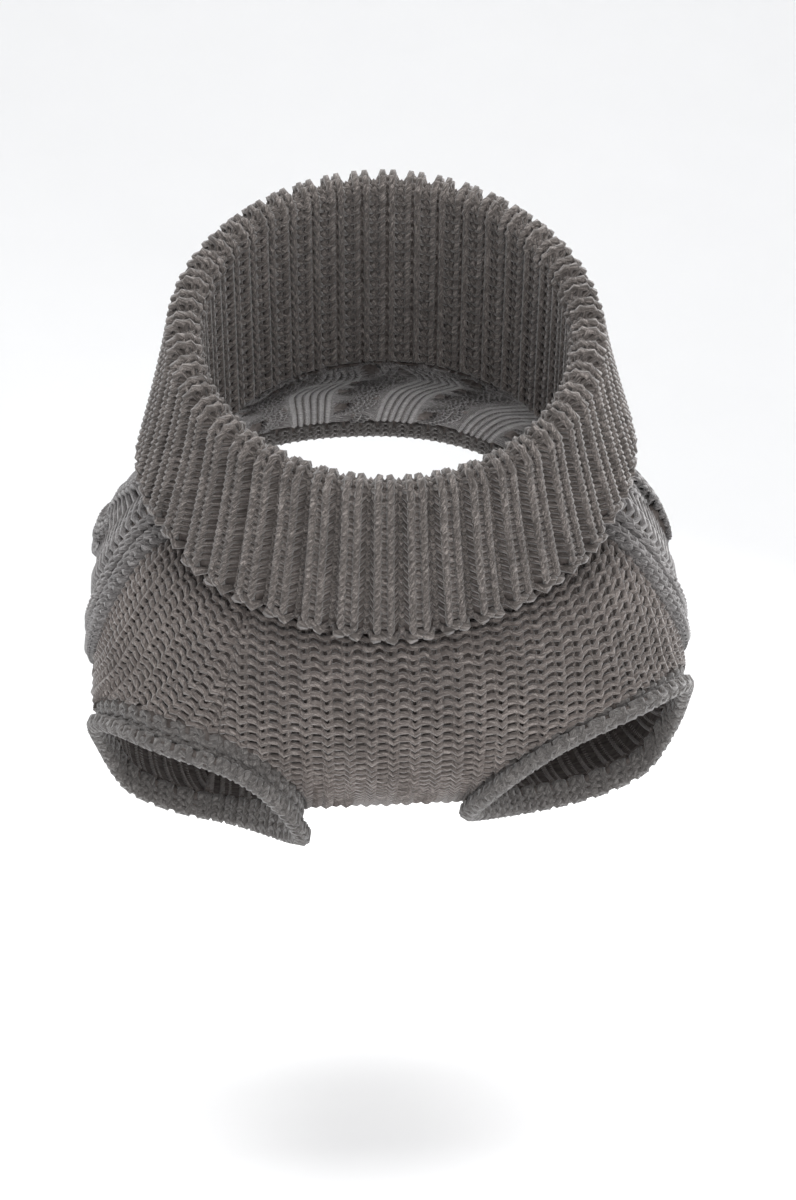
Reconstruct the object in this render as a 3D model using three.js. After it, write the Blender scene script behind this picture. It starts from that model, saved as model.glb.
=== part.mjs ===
// Knitted dog sweater, worn shape: a hollow body of four panels, a folded rib collar and rolled edges.
// Millimetres. +Z up, the chest faces -Y, the hem faces +Y. The origin is on the inside of the back
// panel at the withers, where the garment hangs on its wearer.
import * as THREE from 'three';

// Cloth
const WALL = 4;                 // thickness of the plain knit
const SEAM_GAP = 0.3;           // clearance between neighbouring pieces
const SEAM_CUT = 0.22;          // off each panel's edge, round the body, where its seam may slant
const MARL = 0x7d7672;          // taupe grey yarn
const ROUGHNESS = 0.95;

// Collar
const COLLAR_WALL = 4.6;        // rib knit without its raised ribs
const RIBS = 44;
const RIB_HEIGHT = 1.6;
const POINTS_PER_RIB = 4;
const PLAIN_POINTS = 66;        // points round the collar where it has no ribs
const STAND = { top: 77, bottom: 54 }; // from the neck seam to the top of the fold, over and under the neck
const LAYER_GAP = 1.2;          // between the stand and the folded cuff
const CUFF_STEPS = 4;
const FOLD_STEPS = 4;
const FLARE = { top: 15, side: 23, bottom: 21.5 }; // free edge of the cuff outside the neck seam
const FLARE_POWER = 1.15;       // above 1 keeps the cuff upright near the fold
const CUFF_CLEARANCE = 0.8;     // between the cuff's free edge and the body under it
const CUFF_LIFT = { left: 7, right: 11 }; // how much further the free edge stands off at the sides
const BORDER_ANGLE = 2.1;       // the back panel with its cables reaches this far round the neck

// Cables of the back panel, in millimetres at the widest section
const CABLE_WIDTH = 22;
const CABLE_SPACING = 42;
const CABLES_EACH_SIDE = 3;     // besides the one down the spine
const CABLE_PITCH = 34;         // from one crossing to the next
const CABLE_HEIGHT = 3.4;
const BORDER_RIB_WIDTH = 9;
const BORDER_RIB_HEIGHT = 2.8;
const BORDER_EDGE = 1.4;        // height of the border where it ends

// Rolled edges
const EDGE_BEND = 2.5;          // how far an edge follows the cloth before it turns along the leg
const HEM_DEPTH = 5.5;          // from that turn to the middle of the hem's roll
const ROLL_RADIUS = 3.3;
const ROLL_OUT = 1.4;           // the roll's middle, outside the middle of the cloth
const ROLL_STEPS = 6;
const LEG_EDGE_POINTS = 36;
const HEM_EDGE_POINTS = 60;

// Sections of the body's inner surface, from neck to hem. Each lies in the plane through its top and
// bottom points and the X direction. Upper and lower are superellipse powers: 2 is an ellipse, more is
// squarer. Left and right are the back panel's edges, as shares of half the girth.
const SECTIONS = [
  { name: 'neck seam', topY: -20, topZ: 4, bottomY: -115, bottomZ: -76, halfWidth: 60, upper: 2, lower: 2, left: 0.6, right: 0.61 },
  { name: 'neck base', topY: -10, topZ: 1.5, bottomY: -125, bottomZ: -97, halfWidth: 79, upper: 2.05, lower: 2.3, left: 0.56, right: 0.6 },
  { name: 'breast', topY: 0, topZ: 0, bottomY: -119, bottomZ: -121, halfWidth: 90.5, upper: 2.03, lower: 2.7, left: 0.55, right: 0.59 },
  { name: 'brisket', topY: 15, topZ: 0, bottomY: -94, bottomZ: -139, halfWidth: 98.5, upper: 2.05, lower: 3.7, left: 0.555, right: 0.585 },
  { name: 'foreleg', topY: 42, topZ: 0, bottomY: -48, bottomZ: -147, halfWidth: 101.5, upper: 2.1, lower: 4.4, left: 0.56, right: 0.58 },
  { name: 'ribs', topY: 85, topZ: 0, bottomY: -2, bottomZ: -148, halfWidth: 101, upper: 2.15, lower: 3.9, left: 0.57, right: 0.575 },
  { name: 'loin', topY: 130, topZ: -1, bottomY: 34, bottomZ: -142, halfWidth: 98, upper: 2.25, lower: 3, left: 0.57, right: 0.57 },
  { name: 'waist', topY: 172, topZ: -4, bottomY: 66, bottomZ: -132, halfWidth: 92, upper: 2.3, lower: 2.6, left: 0.57, right: 0.57 },
  { name: 'hem', topY: 212, topZ: -9, bottomY: 95, bottomZ: -121, halfWidth: 87, upper: 2.3, lower: 2.5, left: 0.57, right: 0.57 },
];
const HEM = SECTIONS.length - 1;
const WIDEST = 4;               // the foreleg section

// Places round the body are shares of half the girth: 0 on the spine, 1 or -1 under the belly.
const CHEST_SEAM = { neck: 0.77, leg: 0.79 }; // the left chest seam, and the middle of both leg openings
const LEG = { front: 2.15, back: 4.55 }; // sections at the two ends of both leg openings
// What each opening takes on either side of its middle, and how deep its edge is round it: from the
// turn along the leg to the middle of the roll.
const LEGS = {
  left: { side: -1, outer: 0.165, inner: 0.11, frontDepth: 8.5, innerDepth: 12, depth: 5.5 },
  right: { side: 1, outer: 0.178, inner: 0.14, frontDepth: 3, innerDepth: 5.5, depth: 5.5 },
};
const LEG_DIRECTION = new THREE.Vector3(0.13, 0.03, -0.99).normalize(); // the right foreleg

const ROW_SPACING = 9;          // of the rows of points along the panels
const FLANK = 0.3;              // the share at which lengths down the flank are measured
const FLANK_STEPS = 80;
const TURN = 0.5;               // sections over which the wall turns square at the neck and the hem
const GIRTH_SAMPLES = 120;
const TINY = 1e-3;

const mix = (a, b, t) => a + (b - a) * t;
const smooth = (t) => { const c = Math.min(1, Math.max(0, t)); return c * c * (3 - 2 * c); };
const range = (n, f) => Array.from({ length: n }, (_, i) => f(i));
const even = (n) => range(n + 1, (i) => i / n);

// A column of the section table at a fractional section number, on a smooth curve through its rows.
function column(name, v) {
  const i = Math.min(HEM - 1, Math.max(0, Math.floor(v)));
  const at = (k) => SECTIONS[Math.min(HEM, Math.max(0, k))][name];
  const [p0, p1, p2, p3] = [at(i - 1), at(i), at(i + 1), at(i + 2)];
  const t = v - i;
  const m1 = (p2 - (i > 0 ? p0 : p1)) / (i > 0 ? 2 : 1);
  const m2 = ((i < HEM - 1 ? p3 : p2) - p1) / (i < HEM - 1 ? 2 : 1);
  const t2 = t * t;
  const t3 = t2 * t;
  return (2 * t3 - 3 * t2 + 1) * p1 + (t3 - 2 * t2 + t) * m1 + (3 * t2 - 2 * t3) * p2 + (t3 - t2) * m2;
}

// A point of the body's inner surface by section number and polar angle from the spine.
function byAngle(v, angle) {
  const [s, c] = [Math.sin(angle), Math.cos(angle)];
  const power = column(c >= 0 ? 'upper' : 'lower', v);
  const r = (Math.abs(s) ** power + Math.abs(c) ** power) ** (-1 / power);
  const [topY, topZ] = [column('topY', v), column('topZ', v)];
  const [bottomY, bottomZ] = [column('bottomY', v), column('bottomZ', v)];
  return new THREE.Vector3(
    column('halfWidth', v) * r * s,
    (topY + bottomY) / 2 + ((topY - bottomY) / 2) * r * c,
    (topZ + bottomZ) / 2 + ((topZ - bottomZ) / 2) * r * c,
  );
}

// Lengths along half a section, kept for each section number.
const girths = new Map();
function girth(v) {
  const key = v.toFixed(5);
  if (!girths.has(key)) {
    const lengths = [0];
    let last = byAngle(v, 0);
    for (let i = 1; i <= GIRTH_SAMPLES; i += 1) {
      const next = byAngle(v, (Math.PI * i) / GIRTH_SAMPLES);
      lengths.push(lengths[i - 1] + next.distanceTo(last));
      last = next;
    }
    girths.set(key, lengths);
  }
  return girths.get(key);
}
const halfGirth = (v) => girth(v)[GIRTH_SAMPLES];

// A point of the inner surface by section number and share of half the girth.
function bodyPoint(v, share) {
  const wrapped = share > 1 ? share - 2 : share < -1 ? share + 2 : share;
  const lengths = girth(v);
  const wanted = Math.abs(wrapped) * lengths[GIRTH_SAMPLES];
  let i = 1;
  while (i < GIRTH_SAMPLES && lengths[i] < wanted) i += 1;
  const t = (wanted - lengths[i - 1]) / (lengths[i] - lengths[i - 1]);
  return byAngle(v, (Math.sign(wrapped) || 1) * (Math.PI * (i - 1 + t)) / GIRTH_SAMPLES);
}

function bodyNormal(v, share) {
  const step = 0.02;
  const [v0, v1] = [Math.max(0, v - step), Math.min(HEM, v + step)];
  const along = bodyPoint(v1, share).sub(bodyPoint(v0, share));
  const across = bodyPoint(v, share + step).sub(bodyPoint(v, share - step));
  return across.cross(along).normalize();
}

// The normal of a section's plane, towards the hem, and the way across its wall in that plane.
function planeNormal(v) {
  const up = new THREE.Vector3(0, column('topY', v) - column('bottomY', v), column('topZ', v) - column('bottomZ', v));
  return new THREE.Vector3(0, up.z, -up.y).normalize();
}
function wallInPlane(v, share) {
  const normal = bodyNormal(v, share);
  const flat = normal.clone().projectOnPlane(planeNormal(v)).normalize();
  return flat.divideScalar(Math.max(0.45, flat.dot(normal)));
}

// The way across the wall: square to the cloth, turned into the plane of the neck seam and of the hem.
function wallWay(v, share) {
  const normal = bodyNormal(v, share);
  if (v < TURN) return wallInPlane(v, share).lerp(normal, smooth(v / TURN));
  if (v > HEM - TURN) return wallInPlane(v, share).lerp(normal, smooth((HEM - v) / TURN));
  return normal;
}

// Meshes
class Skin {
  constructor() {
    this.points = [];
    this.faces = [];
    this.places = new Map();
  }

  // The index of a point, the same one for a point that is there already.
  add(point) {
    const key = point.toArray().map((x) => Math.round(x / TINY)).join();
    if (!this.places.has(key)) {
      this.places.set(key, this.points.length / 3);
      this.points.push(point.x, point.y, point.z);
    }
    return this.places.get(key);
  }

  quad(a, b, c, d) {
    this.faces.push(a, b, c, a, c, d);
  }

  // Triangles between two strings of points with their own spacing. Each entry is [place, index].
  // lead says which string goes first where both have a point: 1 or -1.
  lace(one, two, lead = 1) {
    let [i, j] = [0, 0];
    while (i < one.length - 1 || j < two.length - 1) {
      const ahead = j < two.length - 1 && i < one.length - 1 && one[i + 1][0] <= two[j + 1][0] + lead * TINY;
      const first = ahead || j === two.length - 1;
      if (first) {
        this.faces.push(one[i][1], two[j][1], one[i + 1][1]);
        i += 1;
      } else {
        this.faces.push(one[i][1], two[j][1], two[j + 1][1]);
        j += 1;
      }
    }
  }

  volume() {
    const at = (i) => new THREE.Vector3().fromArray(this.points, 3 * i);
    let six = 0;
    for (let i = 0; i < this.faces.length; i += 3) {
      const [a, b, c] = [at(this.faces[i]), at(this.faces[i + 1]), at(this.faces[i + 2])];
      six += a.dot(b.cross(c));
    }
    return six / 6;
  }

  mesh(name) {
    if (this.volume() < 0) {
      for (let i = 0; i < this.faces.length; i += 3) {
        [this.faces[i + 1], this.faces[i + 2]] = [this.faces[i + 2], this.faces[i + 1]];
      }
    }
    const geometry = new THREE.BufferGeometry();
    geometry.setAttribute('position', new THREE.Float32BufferAttribute(this.points, 3));
    geometry.setIndex(this.faces);
    geometry.computeVertexNormals();
    const material = new THREE.MeshStandardMaterial({ color: MARL, roughness: ROUGHNESS, metalness: 0 });
    const mesh = new THREE.Mesh(geometry, material);
    mesh.name = name;
    return mesh;
  }
}

// The length from the neck seam down the flank, by section number.
const flankLengths = [0];
for (let i = 1; i <= FLANK_STEPS; i += 1) {
  const [a, b] = [bodyPoint((HEM * (i - 1)) / FLANK_STEPS, FLANK), bodyPoint((HEM * i) / FLANK_STEPS, FLANK)];
  flankLengths.push(flankLengths[i - 1] + a.distanceTo(b));
}
function flankLength(v) {
  const at = (v / HEM) * FLANK_STEPS;
  const i = Math.min(FLANK_STEPS - 1, Math.floor(at));
  return mix(flankLengths[i], flankLengths[i + 1], at - i);
}

// Rows along every panel, so that neighbours share them at their seams. Round the leg opening they
// crowd towards its two ends.
const rows = [];
function addRows(from, to) {
  const count = Math.ceil((flankLength(to) - flankLength(from)) / ROW_SPACING);
  for (let i = 0; i < count; i += 1) rows.push(mix(from, to, i / count));
}
addRows(0, LEG.front);
for (let i = 0; i < LEG_EDGE_POINTS / 2; i += 1) {
  const [middle, reach] = [(LEG.front + LEG.back) / 2, (LEG.back - LEG.front) / 2];
  rows.push(middle - reach * Math.cos((2 * Math.PI * i) / LEG_EDGE_POINTS));
}
addRows(LEG.back, HEM);
rows.push(HEM);

// A panel: a plain inside, an outside with its relief and columns of its own, and an edge laced
// between them. Each strip gives its two edges as shares of half the girth, by section number.
// Strips that meet at a row share its points there, and where they part is a hole.
function panel(name, strips, relief) {
  const skin = new Skin();
  const last = rows.length - 1;
  const layer = ({ edges, margins, columns }, offset) => rows.map((v) => {
    const cut = SEAM_CUT / halfGirth(v);
    const [left, right] = edges(v).map((share, k) => share + (k ? -cut : cut) * margins[k]);
    return columns.map((t) => {
      const share = mix(left, right, t);
      return skin.add(bodyPoint(v, share).addScaledVector(wallWay(v, share), offset(v, share)));
    });
  });
  const fill = (grid, flip) => {
    for (let i = 0; i < last; i += 1) {
      for (let j = 0; j < grid[0].length - 1; j += 1) {
        const corners = [grid[i][j], grid[i][j + 1], grid[i + 1][j + 1], grid[i + 1][j]];
        skin.quad(...(flip ? corners.reverse() : corners));
      }
    }
  };
  strips.forEach(({ edges, margins, inside, outside }) => {
    const inner = layer({ edges, margins, columns: inside }, () => 0);
    const outer = layer({ edges, margins, columns: outside }, (v, share) => WALL + relief(v, share));
    fill(inner, false);
    fill(outer, true);
    const string = (grid, columns, i) => columns.map((t, j) => [t, grid[i][j]]);
    const reversed = (entries) => entries.map(([t, index]) => [1 - t, index]).reverse();
    skin.lace(string(inner, inside, 0), string(outer, outside, 0));
    skin.lace(reversed(string(inner, inside, last)), reversed(string(outer, outside, last)));
    for (let i = 0; i < last; i += 1) {
      const welded = (k) => !margins[k] && legReach(rows[i]) === 0 && legReach(rows[i + 1]) === 0;
      const [a, b] = [inner[i], inner[i + 1]].map((row) => [row[0], row[row.length - 1]]);
      const [c, d] = [outer[i], outer[i + 1]].map((row) => [row[0], row[row.length - 1]]);
      if (!welded(0)) skin.faces.push(a[0], b[0], c[0], b[0], d[0], c[0]);
      if (!welded(1)) skin.faces.push(a[1], c[1], b[1], b[1], c[1], d[1]);
    }
  });
  return skin.mesh(name);
}

// How far the leg opening reaches from the chest seam at a section, as a share of its widest.
function legReach(v) {
  const t = (2 * v - LEG.front - LEG.back) / (LEG.back - LEG.front);
  return Math.abs(t) < 1 ? Math.sqrt(1 - t * t) : 0;
}

// Back panel. Places across it are millimetres from its middle at the widest section.
const widest = halfGirth(WIDEST);
const backMiddle = (v) => (column('right', v) - column('left', v)) / 2;
const backHalf = (v) => (column('right', v) + column('left', v)) / 2;
const backEdge = backHalf(WIDEST) * widest;
const cables = range(2 * CABLES_EACH_SIDE + 1, (i) => (i - CABLES_EACH_SIDE) * CABLE_SPACING);

// A rope of two strands: together at a crossing, apart halfway to the next, one rising as the other sinks.
function cableRelief(offset, length) {
  const x = (2 * offset) / CABLE_WIDTH;
  if (Math.abs(x) >= 1) return 0;
  const phase = (Math.PI * length) / CABLE_PITCH;
  const together = Math.cos(phase) ** 2;
  const middle = (1 - Math.abs(x)) ** 0.7;
  const apart = Math.max(0, 1 - Math.abs(2 * Math.abs(x) - 1));
  const lean = 0.25 * Math.sin(2 * phase) * x;
  return CABLE_HEIGHT * (mix(0.25 * middle + 0.75 * apart, middle, together) + lean * (1 - Math.abs(x)));
}

// Two raised ribs along each long edge, the outer one standing proud of the panel beside it.
function borderRelief(fromEdge) {
  const wave = Math.sin((Math.PI * fromEdge) / BORDER_RIB_WIDTH) ** 2;
  return fromEdge < BORDER_RIB_WIDTH / 2 ? mix(BORDER_EDGE, BORDER_RIB_HEIGHT, wave) : BORDER_RIB_HEIGHT * wave;
}

function backRelief(v, share) {
  const place = ((share - backMiddle(v)) / backHalf(v)) * backEdge;
  const fromEdge = backEdge - Math.abs(place);
  if (fromEdge < 2 * BORDER_RIB_WIDTH) return borderRelief(Math.max(0, fromEdge));
  const length = flankLength(v);
  return Math.max(...cables.map((middle, k) => cableRelief(place - middle, length + (k % 2) * (CABLE_PITCH / 2))));
}

const backColumns = [
  ...range(5, (k) => -backEdge + (k * BORDER_RIB_WIDTH) / 2),
  ...cables.flatMap((middle) => range(5, (k) => middle + ((k - 2) * CABLE_WIDTH) / 4)),
  ...range(5, (k) => backEdge - ((4 - k) * BORDER_RIB_WIDTH) / 2),
].map((place) => (place / backEdge + 1) / 2);
const backPanel = panel('back_panel', [{
  edges: (v) => [-column('left', v), column('right', v)],
  margins: [1, 1],
  inside: even(12),
  outside: backColumns,
}], backRelief);

// The chest panel runs from the left chest seam under the chest to the back panel's right edge, with
// the right leg opening in it. The left side panel fills the rest and shares the left leg opening.
const plain = () => 0;
const chestSeam = (v) => mix(CHEST_SEAM.neck, CHEST_SEAM.leg, smooth(v / LEG.front));
const outerEdge = (v, reach) => chestSeam(v) - reach * legReach(v);
const innerEdge = (v, reach) => chestSeam(v) + reach * legReach(v);
const sideLeft = panel('side_left', [{
  edges: (v) => [-outerEdge(v, LEGS.left.outer), -column('left', v)],
  margins: [1, 1],
  inside: even(4),
  outside: even(4),
}], plain);
const chestPanel = panel('chest_panel', [
  {
    edges: (v) => [column('right', v), outerEdge(v, LEGS.right.outer)],
    margins: [1, 0],
    inside: even(4),
    outside: even(4),
  },
  {
    edges: (v) => [innerEdge(v, LEGS.right.inner), 2 - innerEdge(v, LEGS.left.inner)],
    margins: [0, 1],
    inside: even(10),
    outside: even(10),
  },
], plain);

// A rolled edge. Each station has the cloth's edge point, its normal, the way on past the edge,
// the way the edge turns to, and the way out from that.
function rolledEdge(name, stations) {
  const skin = new Skin();
  const rings = stations.map(({ edge, wall, on, along, out, depth }) => {
    const start = edge.clone().addScaledVector(on, SEAM_GAP);
    const bendWay = wall.clone().normalize().add(out).normalize();
    const bend = start.clone().addScaledVector(wall, WALL / 2).addScaledVector(on, EDGE_BEND);
    const half = WALL / 2 / Math.max(0.7, bendWay.dot(out));
    const end = bend.clone().addScaledVector(along, depth - ROLL_RADIUS * 0.6);
    const roll = bend.clone().addScaledVector(along, depth).addScaledVector(out, ROLL_OUT);
    const turn = (degrees) => {
      const a = THREE.MathUtils.degToRad(degrees);
      return roll.clone()
        .addScaledVector(out, -ROLL_RADIUS * Math.cos(a))
        .addScaledVector(along, ROLL_RADIUS * Math.sin(a));
    };
    return [
      start,
      bend.clone().addScaledVector(bendWay, -half),
      ...range(ROLL_STEPS + 1, (k) => turn((k * 235) / ROLL_STEPS)),
      end.clone().addScaledVector(along, -0.6).addScaledVector(out, WALL / 2),
      bend.clone().addScaledVector(bendWay, half),
      start.clone().addScaledVector(wall, WALL),
    ].map((point) => skin.add(point));
  });
  rings.forEach((ring, i) => {
    const next = rings[(i + 1) % rings.length];
    ring.forEach((index, k) => {
      const other = (k + 1) % ring.length;
      skin.quad(index, next[k], next[other], ring[other]);
    });
  });
  return skin.mesh(name);
}

// Round a leg opening, from its front over the outside.
function legEdge(name, { side, outer, inner, frontDepth, innerDepth, depth: restDepth }) {
  const [middle, reach] = [(LEG.front + LEG.back) / 2, (LEG.back - LEG.front) / 2];
  const along = LEG_DIRECTION.clone();
  along.x *= side;
  const centre = bodyPoint(middle, side * chestSeam(middle));
  const place = (i) => {
    const a = (2 * Math.PI * i) / LEG_EDGE_POINTS;
    const width = Math.sin(a) > 0 ? -outer : inner;
    const v = middle - reach * Math.cos(a);
    return [v, side * (chestSeam(v) + width * Math.abs(Math.sin(a)))];
  };
  return rolledEdge(name, range(LEG_EDGE_POINTS, (i) => {
    const [v, share] = place(i);
    const edge = bodyPoint(v, share);
    const wall = bodyNormal(v, share);
    const tangent = bodyPoint(...place(i + 0.5)).sub(bodyPoint(...place(i - 0.5))).normalize();
    const on = tangent.clone().cross(wall).normalize();
    if (on.dot(centre.clone().sub(edge)) < 0) on.negate();
    const out = edge.clone().sub(centre).projectOnPlane(along).normalize();
    const a = (2 * Math.PI * i) / LEG_EDGE_POINTS;
    const front = Math.max(0, Math.cos(a));
    const depth = mix(mix(restDepth, frontDepth, front), innerDepth, Math.max(0, -Math.sin(a)) ** 2);
    return { edge, wall, on, along, out, depth };
  }));
}

const hemEdge = rolledEdge('hem_edge', range(HEM_EDGE_POINTS, (i) => {
  const share = -1 + (2 * i) / HEM_EDGE_POINTS;
  const edge = bodyPoint(HEM, share);
  const wall = wallInPlane(HEM, share);
  const on = planeNormal(HEM);
  return { edge, wall, on, along: on, out: wall.clone().normalize(), depth: HEM_DEPTH };
}));

// Collar. Its own frame stands on the neck seam: out across the seam's plane, up along the neck.
const NECK_UP = planeNormal(0).negate();
const neckPoint = (angle) => byAngle(0, angle);
function neckOut(angle) {
  const step = 0.01;
  const tangent = neckPoint(angle + step).sub(neckPoint(angle - step)).normalize();
  return NECK_UP.clone().cross(tangent).normalize();
}
const collarPoint = (angle, out, up) =>
  neckPoint(angle).addScaledVector(neckOut(angle), out).addScaledVector(NECK_UP, up);

// The height of the body's outside above the neck seam's plane, under the cuff's free edge.
function bodyUnder(angle, out) {
  const wanted = collarPoint(angle, out, 0);
  let height = -Infinity;
  for (let v = 0; v <= 3; v += 0.1) {
    for (let turn = -0.2; turn <= 0.2; turn += 0.02) {
      const share = angle / Math.PI + turn;
      const outside = bodyPoint(v, share).addScaledVector(wallWay(v, share), WALL);
      const rise = outside.clone().sub(wanted).dot(NECK_UP);
      const away = outside.sub(wanted).addScaledVector(NECK_UP, -rise).length();
      if (away < COLLAR_WALL + 1) height = Math.max(height, rise);
    }
  }
  return height;
}

const flareAt = (angle) => mix(Math.cos(angle) > 0 ? FLARE.top : FLARE.bottom, FLARE.side, Math.sin(angle) ** 2);
const restTable = range(37, (i) => {
  const angle = (Math.PI * i) / 36;
  const proud = angle < BORDER_ANGLE ? CABLE_HEIGHT : 0;
  return bodyUnder(angle, flareAt(angle) - COLLAR_WALL / 2) + proud + CUFF_CLEARANCE;
});
function cuffEnd(angle) {
  const turned = Math.abs(Math.atan2(Math.sin(angle), Math.cos(angle)));
  const at = (turned / Math.PI) * 36;
  const i = Math.min(35, Math.floor(at));
  const lift = Math.sin(angle) < 0 ? CUFF_LIFT.left : CUFF_LIFT.right;
  return mix(restTable[i], restTable[i + 1], at - i) + lift * Math.abs(Math.sin(angle));
}

const foldRadius = COLLAR_WALL + LAYER_GAP / 2;
const foldHeight = (angle) => mix(STAND.bottom, STAND.top, (1 + Math.cos(angle)) / 2) - foldRadius;
const ribRelief = (angle) => RIB_HEIGHT * (0.5 - 0.5 * Math.cos(RIBS * angle));
// The cuff's outside, without ribs, at a share of its drop from the fold to the free edge.
function cuffOut(angle, drop) {
  return mix(2 * foldRadius, flareAt(angle), drop ** FLARE_POWER);
}
const cuffUp = (angle, drop) => mix(foldHeight(angle), cuffEnd(angle) + COLLAR_WALL / 2, drop);

// The loops of the collar's skin, in order: up the inside, over the fold, down the cuff and back.
function collarLoops() {
  const plainLoop = (out, up) => ({ count: PLAIN_POINTS, at: (a) => [out(a), up(a)] });
  const ribLoop = (out, up) => ({ count: RIBS * POINTS_PER_RIB, at: (a) => [out(a), up(a)] });
  const fixed = (value) => () => value;
  const loops = [
    plainLoop(fixed(0), fixed(SEAM_GAP)),
    plainLoop(fixed(0), foldHeight),
  ];
  for (let k = 1; k <= FOLD_STEPS; k += 1) {
    const a = (Math.PI * k) / FOLD_STEPS;
    const ribs = Math.sin(a / 2);
    loops.push(ribLoop(
      (angle) => foldRadius - (foldRadius + ribs * ribRelief(angle)) * Math.cos(a),
      (angle) => foldHeight(angle) + (foldRadius + ribs * ribRelief(angle)) * Math.sin(a),
    ));
  }
  for (let k = 1; k <= CUFF_STEPS; k += 1) {
    const drop = k / CUFF_STEPS;
    loops.push(ribLoop((a) => cuffOut(a, drop) + ribRelief(a), (a) => cuffUp(a, drop)));
  }
  loops.push(ribLoop(
    (a) => cuffOut(a, 1) - COLLAR_WALL / 2 + ribRelief(a) / 2,
    (a) => cuffUp(a, 1) - COLLAR_WALL / 2,
  ));
  for (let k = CUFF_STEPS; k >= 1; k -= 1) {
    const drop = k / CUFF_STEPS;
    loops.push(plainLoop((a) => cuffOut(a, drop) - COLLAR_WALL, (a) => cuffUp(a, drop)));
  }
  loops.push(plainLoop(fixed(foldRadius), (a) => foldHeight(a) + LAYER_GAP / 2));
  loops.push(plainLoop(fixed(COLLAR_WALL), foldHeight));
  loops.push(plainLoop(fixed(COLLAR_WALL), fixed(SEAM_GAP)));
  return loops;
}

function collar() {
  const skin = new Skin();
  const rings = collarLoops().map(({ count, at }) => {
    const ring = range(count, (i) => {
      const angle = (2 * Math.PI * i) / count;
      return [i / count, skin.add(collarPoint(angle, ...at(angle)))];
    });
    return [...ring, [1, ring[0][1]]];
  });
  rings.forEach((ring, i) => skin.lace(ring, rings[(i + 1) % rings.length]));
  return skin.mesh('collar');
}

const sweater = new THREE.Group();
sweater.name = 'dog_sweater';
sweater.add(
  collar(),
  backPanel,
  sideLeft,
  chestPanel,
  legEdge('leg_edge_left', LEGS.left),
  legEdge('leg_edge_right', LEGS.right),
  hemEdge,
);

export default sweater;
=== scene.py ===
# %% [markdown]
# # A hand-knitted dog sweater
#
# The sweater is chunky wool in its worn shape: a folded rib collar, a cable back panel, a chest panel
# and a side panel with the purl side out, and rolled edges at the legs and the hem. The imported CAD
# model gives each panel's place. Here each panel becomes what it is on the real object: courses of
# yarn, looped stitch by stitch, over a thin cloth that stands for the yarn behind the holes, its
# colour dark with painted shade.

# %% Open the imported model
import math

import bpy
import numpy as np
from mathutils import Matrix, Vector


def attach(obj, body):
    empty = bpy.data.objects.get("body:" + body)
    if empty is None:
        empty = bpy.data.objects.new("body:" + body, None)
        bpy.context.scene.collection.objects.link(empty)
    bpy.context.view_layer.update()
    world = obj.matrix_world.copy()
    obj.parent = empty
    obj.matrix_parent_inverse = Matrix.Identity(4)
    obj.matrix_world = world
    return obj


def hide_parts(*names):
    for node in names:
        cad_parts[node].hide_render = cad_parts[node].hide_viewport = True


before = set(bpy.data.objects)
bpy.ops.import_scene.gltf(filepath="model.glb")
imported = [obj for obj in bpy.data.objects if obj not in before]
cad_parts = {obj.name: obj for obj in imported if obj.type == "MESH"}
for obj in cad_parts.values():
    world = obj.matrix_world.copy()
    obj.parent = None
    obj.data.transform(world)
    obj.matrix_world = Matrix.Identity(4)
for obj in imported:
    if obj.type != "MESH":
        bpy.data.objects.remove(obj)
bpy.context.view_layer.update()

MM = 0.001
print("CAD nodes:", sorted(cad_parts))

# %% [markdown]
# ## Camera
#
# The photograph looks at the chest from the front with a long lens, a little above the middle of the
# garment and slightly tilted. A camera matrix is built from its three directions, because that is
# clearer than three angles when the camera also rolls.

# %% Place the camera
PHOTO_HEIGHT = 1200            # pixels
FOCAL_LENGTH = 2812            # in the photograph's pixels
TALL_SIDE = 36.0               # of the sensor, millimetres
CAMERA_PLACE = Vector((0.0061, -1.031, -0.046))
CAMERA_DOWN = math.radians(1.93)
CAMERA_ROLL = math.radians(-2.2)
VIEW_TURN = math.radians(-3.0)  # the garment is turned a little to the camera

ahead = Vector((0, math.cos(CAMERA_DOWN), -math.sin(CAMERA_DOWN)))
level = Vector((1, 0, 0))
above = level.cross(ahead)
right = level * math.cos(CAMERA_ROLL) + above * math.sin(CAMERA_ROLL)
up = above * math.cos(CAMERA_ROLL) - level * math.sin(CAMERA_ROLL)
bpy.ops.object.camera_add(location=(0, 0, 0))
camera = bpy.context.object
camera.name = "Photograph camera"
turned = Matrix((right, up, -ahead)).transposed().to_4x4()
camera.matrix_world = Matrix.Rotation(VIEW_TURN, 4, "Z") @ Matrix.Translation(CAMERA_PLACE) @ turned
camera.data.sensor_fit = "VERTICAL"
camera.data.sensor_height = TALL_SIDE
camera.data.lens = FOCAL_LENGTH / PHOTO_HEIGHT * TALL_SIDE
camera.data.clip_end = 50
bpy.context.scene.camera = camera
print("camera at", [round(x, 3) for x in camera.matrix_world.translation])

# %% [markdown]
# ## Small helpers
#
# Operators work on what is selected, so every step starts by selecting one object alone. A finished
# piece keeps its object at the origin, with its place in its mesh.

# %% Select and finish pieces


def select_only(piece):
    """Select one object and make it active."""
    bpy.ops.object.select_all(action="DESELECT")
    piece.select_set(True)
    bpy.context.view_layer.objects.active = piece
    return piece


def read_points(piece):
    points = np.empty(3 * len(piece.data.vertices))
    piece.data.vertices.foreach_get("co", points)
    return points.reshape(-1, 3)


def move_points(piece, points):
    piece.data.vertices.foreach_set("co", np.asarray(points, float).ravel())
    piece.data.update()


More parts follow.
